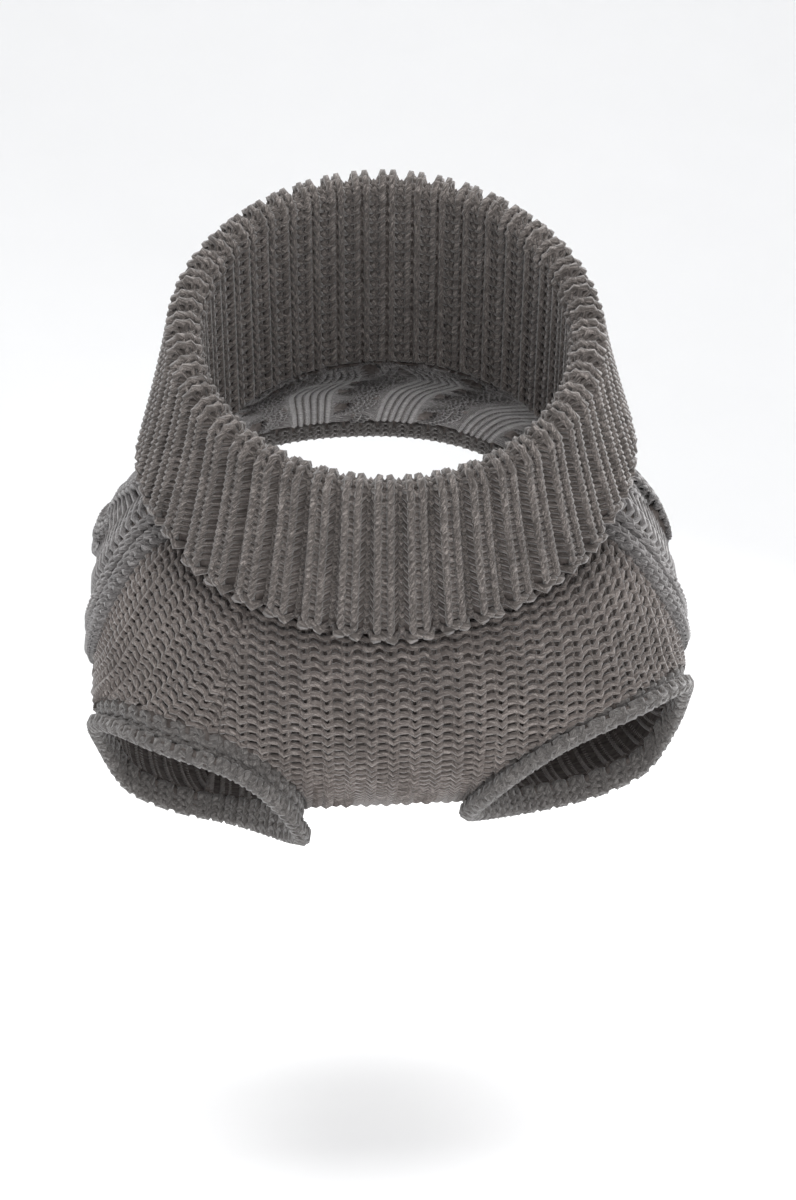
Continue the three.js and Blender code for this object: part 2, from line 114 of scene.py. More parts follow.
def apply_modifier(piece, kind, **settings):
    """Add a modifier with these settings and apply it."""
    select_only(piece)
    bpy.ops.object.modifier_add(type=kind)
    modifier = piece.modifiers[-1]
    for name, value in settings.items():
        setattr(modifier, name, value)
    bpy.ops.object.modifier_apply(modifier=modifier.name)


def delete_points(piece, doomed):
    """Delete the vertices that a mask names, in edit mode."""
    select_only(piece)
    bpy.ops.object.mode_set(mode="EDIT")
    bpy.ops.mesh.select_mode(type="VERT")
    bpy.ops.mesh.select_all(action="DESELECT")
    bpy.ops.object.mode_set(mode="OBJECT")
    piece.data.vertices.foreach_set("select", np.asarray(doomed, bool))
    bpy.ops.object.mode_set(mode="EDIT")
    bpy.ops.mesh.delete(type="VERT")
    bpy.ops.object.mode_set(mode="OBJECT")


# %% [markdown]
# ## Floor and light
#
# A pale sweep, like a studio's paper roll, is a plane whose far edge is pulled up and rounded. Soft
# lamps hang over it, and a pale world fills the shadows between the stitches a little.

# %% Make the sweep
FLOOR = -0.274           # metres, well below the garment, which keeps its height in the photograph
SWEEP_SIZE = 6.0
SWEEP_RISE = 4.0
SWEEP_BEND = 1.5
bpy.ops.object.select_all(action="DESELECT")
bpy.ops.mesh.primitive_plane_add(size=SWEEP_SIZE, location=(0, 0, FLOOR))
sweep = bpy.context.object
sweep.name = "Studio sweep"
bpy.ops.object.mode_set(mode="EDIT")
bpy.ops.mesh.select_mode(type="EDGE")
bpy.ops.mesh.select_all(action="DESELECT")
bpy.ops.object.mode_set(mode="OBJECT")
for edge in sweep.data.edges:
    edge.select = all(sweep.data.vertices[i].co.y > 0 for i in edge.vertices)
bpy.ops.object.mode_set(mode="EDIT")
bpy.ops.mesh.extrude_region_move(TRANSFORM_OT_translate={"value": (0, 0, SWEEP_RISE)})
bpy.ops.object.mode_set(mode="OBJECT")
bpy.ops.object.transform_apply(location=True, rotation=True, scale=True)
for edge in sweep.data.edges:
    ends = [sweep.data.vertices[i].co for i in edge.vertices]
    edge.select = all(p.y > SWEEP_SIZE / 2 - 0.1 and p.z < FLOOR + 0.1 for p in ends)
bpy.ops.object.mode_set(mode="EDIT")
bpy.ops.mesh.bevel(offset=SWEEP_BEND, segments=12, profile=0.5)
bpy.ops.object.mode_set(mode="OBJECT")
bpy.ops.object.shade_smooth()

paper = bpy.data.materials.new("Pale paper")
paper.use_nodes = True
paper_shader = paper.node_tree.nodes["Principled BSDF"]
paper_shader.inputs["Roughness"].default_value = 0.9
paper_grain = paper.node_tree.nodes.new("ShaderNodeTexNoise")
paper_grain.inputs["Scale"].default_value = 60
paper_tone = paper.node_tree.nodes.new("ShaderNodeMapRange")
paper_tone.inputs["To Min"].default_value = 0.93
paper_tone.inputs["To Max"].default_value = 0.95
paper.node_tree.links.new(paper_grain.outputs["Fac"], paper_tone.inputs["Value"])
paper.node_tree.links.new(paper_tone.outputs["Result"], paper_shader.inputs["Base Color"])
sweep.data.materials.append(paper)
print("sweep:", len(sweep.data.polygons), "faces")

# %% Hang the lamps
# Name, place, what it points at, width in metres, watts.
LAMPS = [
    ("Top softbox", (0.1, 0.0, 1.6), (0, 0, 0), 2.2, 36),
    ("Left softbox", (-1.5, 0.2, 0.5), (0, 0.05, -0.03), 1.0, 1),
    ("Right softbox", (1.2, 1.2, 0.5), (0, 0.05, -0.03), 1.0, 26),
    ("Front fill", (0.2, -1.9, 0.7), (0, 0, -0.08), 1.2, 11),
]
for name, place, target, width, watts in LAMPS:
    bpy.ops.object.light_add(type="AREA", location=place)
    lamp = bpy.context.object
    lamp.name = name
    lamp.data.size = width
    lamp.data.energy = watts
    lamp.rotation_euler = (Vector(target) - Vector(place)).to_track_quat("-Z", "Y").to_euler()

world = bpy.data.worlds.new("Pale room")
world.use_nodes = True
world.node_tree.nodes["Background"].inputs["Color"].default_value = (0.97, 0.98, 1.0, 1)
world.node_tree.nodes["Background"].inputs["Strength"].default_value = 0.68
bpy.context.scene.world = world
bpy.context.scene.view_settings.view_transform = "Standard"
print("lamps:", [name for name, *_ in LAMPS])

# %% [markdown]
# ## Marl wool
#
# The yarn is a taupe marl: fibres of a few close shades, spun into plies that wind round each other.
# The windings follow the yarn, so they are drawn on its own UV map, which counts stitches along the
# course and turns once round the yarn. Flecks and patches come from noise in Object coordinates, so
# they don't repeat from stitch to stitch. All panels share the effect, so it is a node group.

# %% Build the wool group


class Nodes:
    """Short words for adding and joining nodes."""

    def __init__(self, tree):
        self.tree = tree

    def add(self, kind, inputs=(), **settings):
        node = self.tree.nodes.new(kind)
        for name, value in settings.items():
            setattr(node, name, value)
        for name, value in dict(inputs).items():
            self.set(node.inputs[name], value)
        return node

    def set(self, socket, value):
        if isinstance(value, bpy.types.NodeSocket):
            self.tree.links.new(value, socket)
        else:
            socket.default_value = value

    def math(self, operation, *values):
        node = self.tree.nodes.new("ShaderNodeMath")
        node.operation = operation
        for socket, value in zip(node.inputs, values):
            self.set(socket, value)
        return node.outputs[0]

    def mix(self, factor, a, b, blend="MIX"):
        node = self.tree.nodes.new("ShaderNodeMix")
        node.data_type = "RGBA"
        node.blend_type = blend
        for socket, value in zip((node.inputs[0], node.inputs[6], node.inputs[7]), (factor, a, b)):
            self.set(socket, value)
        return node.outputs[2]

    def ranged(self, value, **ends):
        """A value moved from one range to another. The ends go by their sockets' names."""
        ends = {name.replace("_", " "): end for name, end in ends.items()}
        return self.add("ShaderNodeMapRange", {"Value": value, **ends}).outputs["Result"]

    def noise(self, place, scale, detail, roughness=0.5):
        inputs = {"Vector": place, "Scale": scale, "Detail": detail, "Roughness": roughness}
        return self.add("ShaderNodeTexNoise", inputs).outputs["Fac"]


YARN_MAP = "yarn"


def make_wool_group():
    group = bpy.data.node_groups.new("Marl wool", "ShaderNodeTree")
    for name, kind, start in [
        ("Dark", "NodeSocketColor", (0.1, 0.08, 0.07, 1)),
        ("Middle", "NodeSocketColor", (0.2, 0.18, 0.17, 1)),
        ("Light", "NodeSocketColor", (0.4, 0.38, 0.36, 1)),
        ("Plies", "NodeSocketFloat", 3.0),
        ("Turns", "NodeSocketFloat", 5.0),
        ("Relief", "NodeSocketFloat", 0.7),
    ]:
        group.interface.new_socket(name, in_out="INPUT", socket_type=kind).default_value = start
    for name, kind in [
            ("Color", "NodeSocketColor"), ("Roughness", "NodeSocketFloat"), ("Normal", "NodeSocketVector")]:
        group.interface.new_socket(name, in_out="OUTPUT", socket_type=kind)
    n = Nodes(group)
    given = n.add("NodeGroupInput").outputs
    place = n.add("ShaderNodeTexCoord").outputs["Object"]
    yarn_uv = n.add("ShaderNodeUVMap", uv_map=YARN_MAP).outputs["UV"]
    along, around, _ = n.add("ShaderNodeSeparateXYZ", {"Vector": yarn_uv}).outputs

    # Plies: a sine that turns round the yarn as it goes along
    turned = n.math("MULTIPLY", along, given["Turns"])
    winding = n.math("ADD", turned, n.math("MULTIPLY", around, given["Plies"]))
    ply = n.math("ABSOLUTE", n.math("SINE", n.math("MULTIPLY", winding, math.pi)))

    # Fibres: noise stretched along the plies
    across = n.add("ShaderNodeCombineXYZ", {
        "X": n.math("MULTIPLY", winding, 3.0), "Y": n.math("MULTIPLY", along, 2.0)})
    moved = n.add("ShaderNodeVectorMath", {0: place, 1: (260, 260, 260)}, operation="MULTIPLY").outputs[0]
    shifted = n.add("ShaderNodeVectorMath", {0: across.outputs[0], 1: moved}, operation="ADD").outputs[0]
    fibre = n.noise(shifted, scale=1.4, detail=3.0, roughness=0.65)
    fine = n.noise(place, scale=2600.0, detail=2.0)
    patch = n.noise(place, scale=55.0, detail=2.0)

    colour = n.mix(n.ranged(fibre, From_Min=0.3, From_Max=0.62), given["Dark"], given["Middle"])
    fleck = n.math("MULTIPLY", fibre, n.math("ADD", fine, 0.55))
    colour = n.mix(n.ranged(fleck, From_Min=0.52, From_Max=0.8), colour, given["Light"])
    shade = n.ranged(patch, From_Min=0.3, From_Max=0.7, To_Min=0.86, To_Max=1.12)
    # Painted shade: the colour darkens in the grooves between the plies, beside their bump.
    painted_groove_shade = n.ranged(ply, From_Max=0.6, To_Min=0.84, To_Max=1.0)
    colour = n.mix(1.0, colour, n.math("MULTIPLY", shade, painted_groove_shade), "MULTIPLY")
    height = n.math("ADD", n.math("MULTIPLY", ply, 0.35), n.math("MULTIPLY", fibre, 0.45))
    height = n.math("ADD", height, n.math("MULTIPLY", fine, 0.2))
    bump = n.add("ShaderNodeBump", {"Height": height, "Strength": given["Relief"], "Distance": 0.0005})
    rough = n.ranged(fine, To_Min=0.8, To_Max=1.0)
    n.add("NodeGroupOutput", {"Color": colour, "Roughness": rough, "Normal": bump.outputs["Normal"]})
    return group


wool_group = make_wool_group()
print("group:", wool_group.name, len(wool_group.nodes), "nodes")

# %% [markdown]
# Each panel has a wool of its own: the back's is a little lighter and greyer, and the rolled edges' a
# little cooler and darker. Matt wool still has a soft sheen at glancing angles, from its loose fibres.

# %% Make the wools
SHEEN = 0.35


def make_wool(name, dark, middle, light):
    wool = bpy.data.materials.new(name)
    wool.use_nodes = True
    n = Nodes(wool.node_tree)
    shader = wool.node_tree.nodes["Principled BSDF"]
    effect = n.add("ShaderNodeGroup", node_tree=wool_group)
    for socket, value in (("Dark", dark), ("Middle", middle), ("Light", light)):
        effect.inputs[socket].default_value = (*value, 1)
    for socket, output in (("Base Color", "Color"), ("Roughness", "Roughness"), ("Normal", "Normal")):
        n.set(shader.inputs[socket], effect.outputs[output])
    shader.inputs["Sheen Weight"].default_value = SHEEN
    shader.inputs["Sheen Roughness"].default_value = 0.5
    shader.inputs["Specular IOR Level"].default_value = 0.2
    return wool


rib_wool = make_wool("Rib wool", (0.05, 0.043, 0.039), (0.125, 0.109, 0.1), (0.32, 0.286, 0.267))
back_wool = make_wool("Cable wool", (0.078, 0.072, 0.07), (0.165, 0.155, 0.152), (0.36, 0.343, 0.338))
chest_wool = make_wool("Purl wool", (0.076, 0.063, 0.057), (0.154, 0.132, 0.121), (0.325, 0.29, 0.27))
edge_wool = make_wool("Edge wool", (0.066, 0.06, 0.057), (0.125, 0.116, 0.11), (0.24, 0.228, 0.218))
print("wools:", [w.name for w in (rib_wool, back_wool, chest_wool, edge_wool)])

# %% [markdown]
# Behind the open stitches lies more wool in deep shade. The thin cloth that stands for it has that
# shade painted into its colour: it is dark, mottled and quite matt.

# %% Make the shaded cloth


def make_painted_shade_cloth():
    cloth = bpy.data.materials.new("Painted shade wool cloth")
    cloth.use_nodes = True
    n = Nodes(cloth.node_tree)
    shader = cloth.node_tree.nodes["Principled BSDF"]
    place = n.add("ShaderNodeTexCoord").outputs["Object"]
    mottle = n.noise(place, scale=320.0, detail=4.0)
    fuzz = n.noise(place, scale=1700.0, detail=2.0)
    tone = n.ranged(mottle, From_Min=0.35, From_Max=0.65)
    # Painted shade: the cloth's dark colour stands in for the shade between the stitches, mottled by noise.
    n.set(shader.inputs["Base Color"], n.mix(tone, (0.06, 0.051, 0.047, 1), (0.135, 0.118, 0.11, 1)))
    height = n.math("ADD", mottle, n.math("MULTIPLY", fuzz, 0.4))
    bump = n.add("ShaderNodeBump", {"Height": height, "Strength": 0.8, "Distance": 0.0008})
    n.set(shader.inputs["Normal"], bump.outputs["Normal"])
    shader.inputs["Roughness"].default_value = 0.95
    shader.inputs["Specular IOR Level"].default_value = 0.1
    return cloth


painted_shade_cloth = make_painted_shade_cloth()
print("cloth:", painted_shade_cloth.name)

# %% [markdown]
# ## The body's form
#
# The pieces have to lie exactly where the CAD panels lie, so the same table of sections is repeated
# here in millimetres. Each section is a closed curve round the body, in a slanted plane. A place on
# the body is a section number, v, and a share of half the girth: 0 on the spine, 1 or -1 under the
# belly. NumPy works on thousands of places at once, which keeps the script quick.

# %% Tabulate the sections
WALL = 4.0
SEAM_GAP = 0.3
COLUMNS = ("top_y", "top_z", "bottom_y", "bottom_z", "half_width", "upper", "lower", "left", "right")
SECTIONS = np.array([
    (-20, 4, -115, -76, 60, 2, 2, 0.6, 0.61),
    (-10, 1.5, -125, -97, 79, 2.05, 2.3, 0.56, 0.6),
    (0, 0, -119, -121, 90.5, 2.03, 2.7, 0.55, 0.59),
    (15, 0, -94, -139, 98.5, 2.05, 3.7, 0.555, 0.585),
    (42, 0, -48, -147, 101.5, 2.1, 4.4, 0.56, 0.58),
    (85, 0, -2, -148, 101, 2.15, 3.9, 0.57, 0.575),
    (130, -1, 34, -142, 98, 2.25, 3, 0.57, 0.57),
    (172, -4, 66, -132, 92, 2.3, 2.6, 0.57, 0.57),
    (212, -9, 95, -121, 87, 2.3, 2.5, 0.57, 0.57),
])
HEM = len(SECTIONS) - 1
WIDEST = 4


def mix(a, b, t):
    return a + (b - a) * t


def smooth(t):
    t = np.clip(t, 0, 1)
    return t * t * (3 - 2 * t)


def column(name, v):
    """A column of the table at any section number, on a smooth curve through its rows."""
    values = SECTIONS[:, COLUMNS.index(name)]
    v = np.clip(v, 0, HEM)
    i = np.clip(np.floor(v).astype(int), 0, HEM - 1)
    before, here, after, beyond = (values[np.clip(i + k, 0, HEM)] for k in (-1, 0, 1, 2))
    leave = np.where(i > 0, (after - before) / 2, after - here)
    reach = np.where(i < HEM - 1, (beyond - here) / 2, after - here)
    t = v - i
    t2, t3 = t ** 2, t ** 3
    return (
        (2 * t3 - 3 * t2 + 1) * here + (t3 - 2 * t2 + t) * leave
        + (3 * t2 - 2 * t3) * after + (t3 - t2) * reach)


def by_angle(v, angle):
    """A point of the body's inner surface by section number and angle from the spine."""
    s, c = np.sin(angle), np.cos(angle)
    power = np.where(c >= 0, column("upper", v), column("lower", v))
    r = (np.abs(s) ** power + np.abs(c) ** power) ** (-1 / power)
    top_y, top_z, bottom_y, bottom_z = (column(name, v) for name in COLUMNS[:4])
    y = (top_y + bottom_y) / 2 + (top_y - bottom_y) / 2 * r * c
    z = (top_z + bottom_z) / 2 + (top_z - bottom_z) / 2 * r * c
    return np.stack([column("half_width", v) * r * s, y, z], -1)


# %% Turn shares of the girth into angles
SECTION_STEP = 0.025
GIRTH_SAMPLES = 240
table_v = np.arange(0, HEM + SECTION_STEP / 2, SECTION_STEP)
table_angles = np.linspace(0, np.pi, GIRTH_SAMPLES + 1)
outline = by_angle(table_v[:, None], table_angles[None, :])
sides = np.linalg.norm(np.diff(outline, axis=1), axis=2)
lengths = np.concatenate([np.zeros((len(table_v), 1)), np.cumsum(sides, axis=1)], axis=1)
half_girths = lengths[:, -1]
even_shares = np.linspace(0, 1, GIRTH_SAMPLES + 1)
angle_table = np.array([np.interp(even_shares * row[-1], row, table_angles) for row in lengths])


def half_girth(v):
    return np.interp(v, table_v, half_girths)


def body_point(v, share):
    """A point of the inner surface by section number and share of half the girth."""
    share = (np.asarray(share, float) + 1) % 2 - 1
    v = np.clip(v, 0, HEM)
    a, b = v / SECTION_STEP, np.abs(share) * GIRTH_SAMPLES
    i = np.clip(a.astype(int), 0, len(table_v) - 2)
    j = np.clip(b.astype(int), 0, GIRTH_SAMPLES - 1)
    a, b = a - i, b - j
    first = mix(angle_table[i, j], angle_table[i, j + 1], b)
    second = mix(angle_table[i + 1, j], angle_table[i + 1, j + 1], b)
    return by_angle(v, np.where(share < 0, -1, 1) * mix(first, second, a))


def unit(vectors):
    return vectors / np.maximum(np.linalg.norm(vectors, axis=-1, keepdims=True), 1e-9)


def dot(a, b):
    return np.sum(a * b, axis=-1, keepdims=True)


def body_normal(v, share):
    step = 0.02
    along = body_point(np.minimum(HEM, v + step), share) - body_point(np.maximum(0, v - step), share)
    across = body_point(v, share + step) - body_point(v, share - step)
    return unit(np.cross(across, along))


def plane_normal(v):
    """The normal of a section's plane, towards the hem."""
    y = column("top_y", v) - column("bottom_y", v)
    z = column("top_z", v) - column("bottom_z", v)
    return unit(np.stack([np.zeros_like(y), z, -y], -1))


LEAST_SQUARE = 0.45      # keeps the wall from growing without end where the cloth slants steeply
TURN = 0.5               # sections from an end, over which the wall turns into its plane


def wall_in_plane(v, share):
    normal, plane = body_normal(v, share), plane_normal(v)
    flat = unit(normal - plane * dot(normal, plane))
    return flat / np.maximum(LEAST_SQUARE, dot(flat, normal))


def wall_way(v, share):
    """Square to the cloth, turned into the section's plane at the neck seam and the hem."""
    v = np.broadcast_to(v, np.broadcast(v, share).shape)
    from_end = np.minimum(v, HEM - v)[..., None]
    return mix(wall_in_plane(v, share), body_normal(v, share), smooth(from_end / TURN))


print("half girth, neck to hem:", [round(float(half_girth(v))) for v in range(HEM + 1)], "mm")

# %% [markdown]
# Cloth on a body isn't a perfect barrel. A few soft creases pull from the legs and under the collar.
# Each is a long low swelling, given by its place, its direction and its height, and the cloth and the
# yarn on it use the same function, so they move together.

# %% Describe the creases
# Section, share, half length, half width, direction in degrees from the girth, height; millimetres.
CREASES = [
    (1.9, -0.74, 26, 7, 62, 1.5), (2.2, -0.66, 22, 6, 48, -1.3), (1.7, 0.74, 24, 7, 118, 1.3),
    (2.1, 0.68, 20, 6, 128, -1.2), (3.4, -0.62, 24, 8, 85, 1.6), (3.3, 0.64, 24, 8, 95, 1.4),
    (1.5, 0.97, 30, 9, 4, 1.0), (5.2, -0.66, 40, 9, 70, 1.8), (5.3, 0.67, 40, 9, 110, 1.7),
    (6.3, 0.9, 50, 10, 20, 1.5), (6.2, -0.45, 42, 10, 75, 1.4), (6.6, 0.4, 38, 10, 100, 1.4),
]
SECTION_LENGTH = 38      # down the body from one section to the next, on the whole


def crease(v, share):
    """The height of the creases at a place, in millimetres."""
    height = 0.0
    for at_v, at_share, half_length, half_width, direction, high in CREASES:
        d = math.radians(direction)
        x = ((share - at_share + 1) % 2 - 1) * half_girth(at_v)
        y = (v - at_v) * SECTION_LENGTH
        with_it = (x * math.cos(d) + y * math.sin(d)) / half_length
        beside_it = (y * math.cos(d) - x * math.sin(d)) / half_width
        height = height + high * np.exp(-with_it ** 2 - beside_it ** 2)
    return height


def on_body(v, share, height):
    """A point of a panel, so high above the body's inner surface, in millimetres."""
    return body_point(v, share) + wall_way(v, share) * (height + crease(v, share))[..., None]


print("creases:", len(CREASES))

# %% [markdown]
# ## Yarn
#
# In knitting, one yarn runs through a whole course, bending up into a head and down into a foot in
# every stitch, and heads pass through the feet of the next course. A sine in height, a double sine
# sideways and another in depth give that path. With the heads and feet to the front, the cloth shows
# its purl side, all wavy bars. With the legs to the front, it shows the plain side, all V's. The yarn
# is drawn as a curve with a five-sided section, converted to a mesh and arrayed into courses.

# %% Draw the yarn's section
SIDES = 5
PURL, PLAIN = 1, -1

bpy.ops.object.select_all(action="DESELECT")
bpy.ops.curve.primitive_nurbs_circle_add()
yarn_section = bpy.context.object
yarn_section.name = "Yarn section"
circle = yarn_section.data.splines[0]
circle.type = "POLY"
while len(circle.points) > SIDES:
    yarn_section.data.splines.remove(circle)
    circle = yarn_section.data.splines.new("POLY")
    circle.points.add(SIDES - 1)
circle.use_cyclic_u = True
for k, point in enumerate(circle.points):
    a = 2 * math.pi * k / SIDES
    point.co = (MM * math.cos(a), MM * math.sin(a), 0, 1)
print("yarn section:", SIDES, "sides, 1 mm in radius before a course sets its own")

# %% [markdown]
# A course is given by its wales, the columns of stitches: where each starts and ends and which side
# it shows. Where a plain wale meets a purl one, the yarn passes through the cloth between them. Each
# panel has a gauge of its own, which gives the height of a course and the way its loops lie.

# %% Shape a course


def gauge(course, radius, rings=8, depth=0.9, height=0.75, spread=0.1, pinch=0.0, lean=0.0, tilt=0.2):
    """course: its height in millimetres. radius: the yarn's. rings: in a stitch. depth: from the middle
    of the cloth to a head or a leg. height: half a loop's, in courses. spread: how far a head bulges,
    in wales. pinch: how far the two legs lean together under the head, in wales. lean: how much deeper
    one leg lies than the other. tilt: how much nearer a foot lies than a head, on the plain side."""
    return dict(course=course, radius=radius, rings=rings, depth=depth, height=height, spread=spread,
                pinch=pinch, lean=lean, tilt=tilt)


PASSING_RATE = 5         # the yarn passes through the cloth in a fifth of a wale


def course_path(wales, g):
    """The yarn's path through one course, in millimetres, with one ring more at each end."""
    t = np.arange(g["rings"]) / g["rings"]
    rings = []
    for k, (start, end, side) in enumerate(wales):
        before = wales[k - 1][2]
        after = wales[(k + 1) % len(wales)][2]
        width = end - start
        turn = 2 * np.pi * t
        enters = 1 if before == side else smooth(t * PASSING_RATE)
        leaves = 1 if after == side else smooth((1 - t) * PASSING_RATE)
        x = start + width * (t + g["spread"] * np.sin(2 * turn) + g["pinch"] * np.sin(turn))
        y = -g["height"] * g["course"] * np.cos(turn)
        z = side * (g["depth"] * np.cos(2 * turn) - g["tilt"] * np.cos(turn)) + g["lean"] * np.sin(turn)
        rings.append(np.stack([x, y, z * (enters * leaves)], -1))
    rings = np.concatenate(rings)
    span = np.array([wales[-1][1] - wales[0][0], 0, 0])
    return np.concatenate([rings[-1:] - span, rings, rings[:2] + span])


def draw_courses(name, wales, g, courses):
    """A flat swatch: the mesh, and each ring's middle as (course, ring, xyz), in millimetres."""
    path = course_path(wales, g)
    bpy.ops.object.select_all(action="DESELECT")
    bpy.ops.curve.primitive_nurbs_path_add()
    yarn = bpy.context.object
    yarn.name = name
    spline = yarn.data.splines[0]
    spline.type = "POLY"
    spline.points.add(len(path) - len(spline.points))
    spline.points.foreach_set("co", np.column_stack([path * MM, np.ones(len(path))]).ravel())
    spline.points.foreach_set("radius", np.full(len(path), g["radius"]))
    yarn.data.bevel_mode = "OBJECT"
    yarn.data.bevel_object = yarn_section
    bpy.ops.object.convert(target="MESH")
    yarn = bpy.context.object
    assert len(yarn.data.vertices) == len(path) * SIDES
    windings = yarn.data.uv_layers[0]
    windings.name = YARN_MAP
    uv = np.empty(2 * len(yarn.data.loops))
    windings.data.foreach_get("uv", uv)
    uv[0::2] *= (len(path) - 1) / g["rings"]
    windings.data.foreach_set("uv", uv)
    apply_modifier(yarn, "ARRAY", count=courses, use_relative_offset=False, use_constant_offset=True,
                   constant_offset_displace=(0, g["course"] * MM, 0))
    lift = np.arange(courses)[:, None, None] * np.array([0, g["course"], 0])
    return yarn, path[None] + lift


# %% [markdown]
# Then the flat swatch is laid on the form. Each ring of the yarn moves as a whole, so the yarn stays
# round and equally thick where the cloth stretches. Rings outside the panel's cut are deleted, and
# the last ones inside are drawn in to the seam line, as stitches are that a seam takes up.

# %% Lay a swatch on its form


def lay_courses(yarn, middles, surface, keep, wool):
    """surface(x, y, z) gives points in millimetres, and keep(x, y) says which rings stay."""
    courses, rings = middles.shape[:2]
    x, y, z = np.moveaxis(middles, -1, 0)
    points = read_points(yarn).reshape(courses, rings, SIDES, 3) / MM
    offsets = points - middles[:, :, None]
    step = 1.0
    across = unit(surface(x + step, y, 0 * z, False) - surface(x - step, y, 0 * z, False))
    along = surface(x, y + step, 0 * z, False) - surface(x, y - step, 0 * z, False)
    out = unit(np.cross(across, along))
    along = np.cross(out, across)
    placed = surface(x, y, z, True)[:, :, None] + sum(
        offsets[..., k:k + 1] * way[:, :, None] for k, way in enumerate((across, along, out)))
    move_points(yarn, placed.reshape(-1, 3) * MM)
    kept = keep(x, y)
    kept[:, 0] = kept[:, -1] = False
    delete_points(yarn, np.repeat(~kept.ravel(), SIDES))
    yarn.data.materials.clear()
    yarn.data.materials.append(wool)
    select_only(yarn)
    bpy.ops.object.shade_smooth()
    print(yarn.name, "triangles", 2 * len(yarn.data.polygons))
    return yarn


# %% [markdown]
# The shaded cloth of a panel is a grid laid on the same surface. It is given a real thickness, so
# that it is cloth from both sides.

# %% Lay a thin cloth on its form
CLOTH_THICKNESS = 0.8


def lay_grid(name, columns, rows, place):
    """A grid whose points go where place(across, along) says; both run from 0 to 1."""
    bpy.ops.object.select_all(action="DESELECT")
    bpy.ops.mesh.primitive_grid_add(x_subdivisions=columns, y_subdivisions=rows, size=1)
    cloth = bpy.context.object
    cloth.name = name
    flat = read_points(cloth) + 0.5
    move_points(cloth, place(flat[:, 0], flat[:, 1]) * MM)
    return cloth


def finish_cloth(cloth, closed=False):
    """Close the cloth if it goes all round, and give it its thickness and finish."""
    select_only(cloth)
    bpy.ops.object.mode_set(mode="EDIT")
    bpy.ops.mesh.select_all(action="SELECT")
    if closed:
        bpy.ops.mesh.remove_doubles(threshold=0.02 * MM)
    bpy.ops.mesh.normals_make_consistent(inside=False)
    bpy.ops.object.mode_set(mode="OBJECT")
    apply_modifier(cloth, "SOLIDIFY", thickness=CLOTH_THICKNESS * MM, offset=0)
    cloth.data.materials.append(painted_shade_cloth)
    select_only(cloth)
    bpy.ops.object.shade_smooth()
    print(cloth.name, "faces", len(cloth.data.polygons))
    return cloth


# %% [markdown]
# ## Chest panel and side panel
#
# Both are plain reverse stocking stitch, purl side out. The chest panel's wales run straight down
# its middle. It starts at the left chest seam, passes under the chest and climbs the right flank,
# with the right leg opening and the inner half of the left one in it. The side panel is cut askew
# from the same cloth, so that its courses meet the seam at a slant.

# %% Set out the cuts
SEAM_CUT = 0.22
CHEST_SEAM = (0.77, 0.79)
LEG_FRONT, LEG_BACK = 2.15, 4.55
LEGS = {
    "left": dict(side=-1, outer=0.165, inner=0.11, front_depth=8.5, inner_depth=12, depth=5.5),
    "right": dict(side=1, outer=0.178, inner=0.14, front_depth=3, inner_depth=5.5, depth=5.5),
}
WALE = 7.0
PURL_GAUGE = gauge(course=2.95, radius=1.12, depth=0.9, height=0.72, spread=0.13, pinch=0.05, lean=0.2)
COURSE = PURL_GAUGE["course"]
MIDDLE = 2.1         # the middle of the yarn above the body's inner surface
TUCK = 1.0           # how far stitches sink into a seam
TUCK_WIDTH = 2.2     # how far from the seam they still do
PAST_SEAM = 3.2      # how far past a seam a ring is kept, to be drawn in to it
PAST_LEG = 0.94      # the same at a leg opening, as a part of the way from its middle to its edge
END_CLEAR = 0.02     # sections between the last rings and the neck seam or the hem
CLOTH_BEHIND = -0.9  # the shaded cloth, from the middle of its stitches


def chest_seam(v):
    return mix(*CHEST_SEAM, smooth(v / LEG_FRONT))


def leg_reach(v):
    t = (2 * v - LEG_FRONT - LEG_BACK) / (LEG_BACK - LEG_FRONT)
    return np.sqrt(np.clip(1 - t * t, 0, None))


def leg_place(v, share, leg):
    """How far a place is from a leg opening's middle: below 1 it is in the opening."""
    t = (2 * v - LEG_FRONT - LEG_BACK) / (LEG_BACK - LEG_FRONT)
    s = leg["side"] * share - chest_seam(v)
    s = s / np.where(s < 0, leg["outer"], leg["inner"])
    return np.hypot(t, s), t, s


def clear_of_leg(v, share, leg):
    """Places in a leg opening moved out to its edge."""
    far, t, s = leg_place(v, share, leg)
    grow = np.where(far < 1, 1 / np.maximum(far, 1e-3), 1)
    moved_v = np.where(far < 1, (t * grow * (LEG_BACK - LEG_FRONT) + LEG_FRONT + LEG_BACK) / 2, v)
    width = np.where(s < 0, leg["outer"], leg["inner"])
    moved_share = np.where(far < 1, leg["side"] * (chest_seam(moved_v) + s * grow * width), share)
    return moved_v, moved_share


def length_table(share):
    """Lengths down the body at a share, by section number."""
    points = body_point(table_v, np.full_like(table_v, share))
    return np.concatenate([[0], np.cumsum(np.linalg.norm(np.diff(points, axis=0), axis=1))])


def even_table(shares, from_v):
    """Lengths down the body from a section, one row for each share."""
    rows = np.array([length_table(share) for share in shares])
    return rows - np.array([[np.interp(from_v, table_v, row)] for row in rows])


def section_at(down, share, shares, rows):
    """The section number so far down the body from the table's own section, at a share."""
    k = np.clip(np.searchsorted(shares, share) - 1, 0, len(shares) - 2)
    part = np.clip((share - shares[k]) / (shares[k + 1] - shares[k]), 0, 1)
    v = np.stack([np.interp(down, row, table_v) for row in rows])
    first = np.take_along_axis(v, k[None], 0)[0]
    second = np.take_along_axis(v, k[None] + 1, 0)[0]
    return mix(first, second, part)


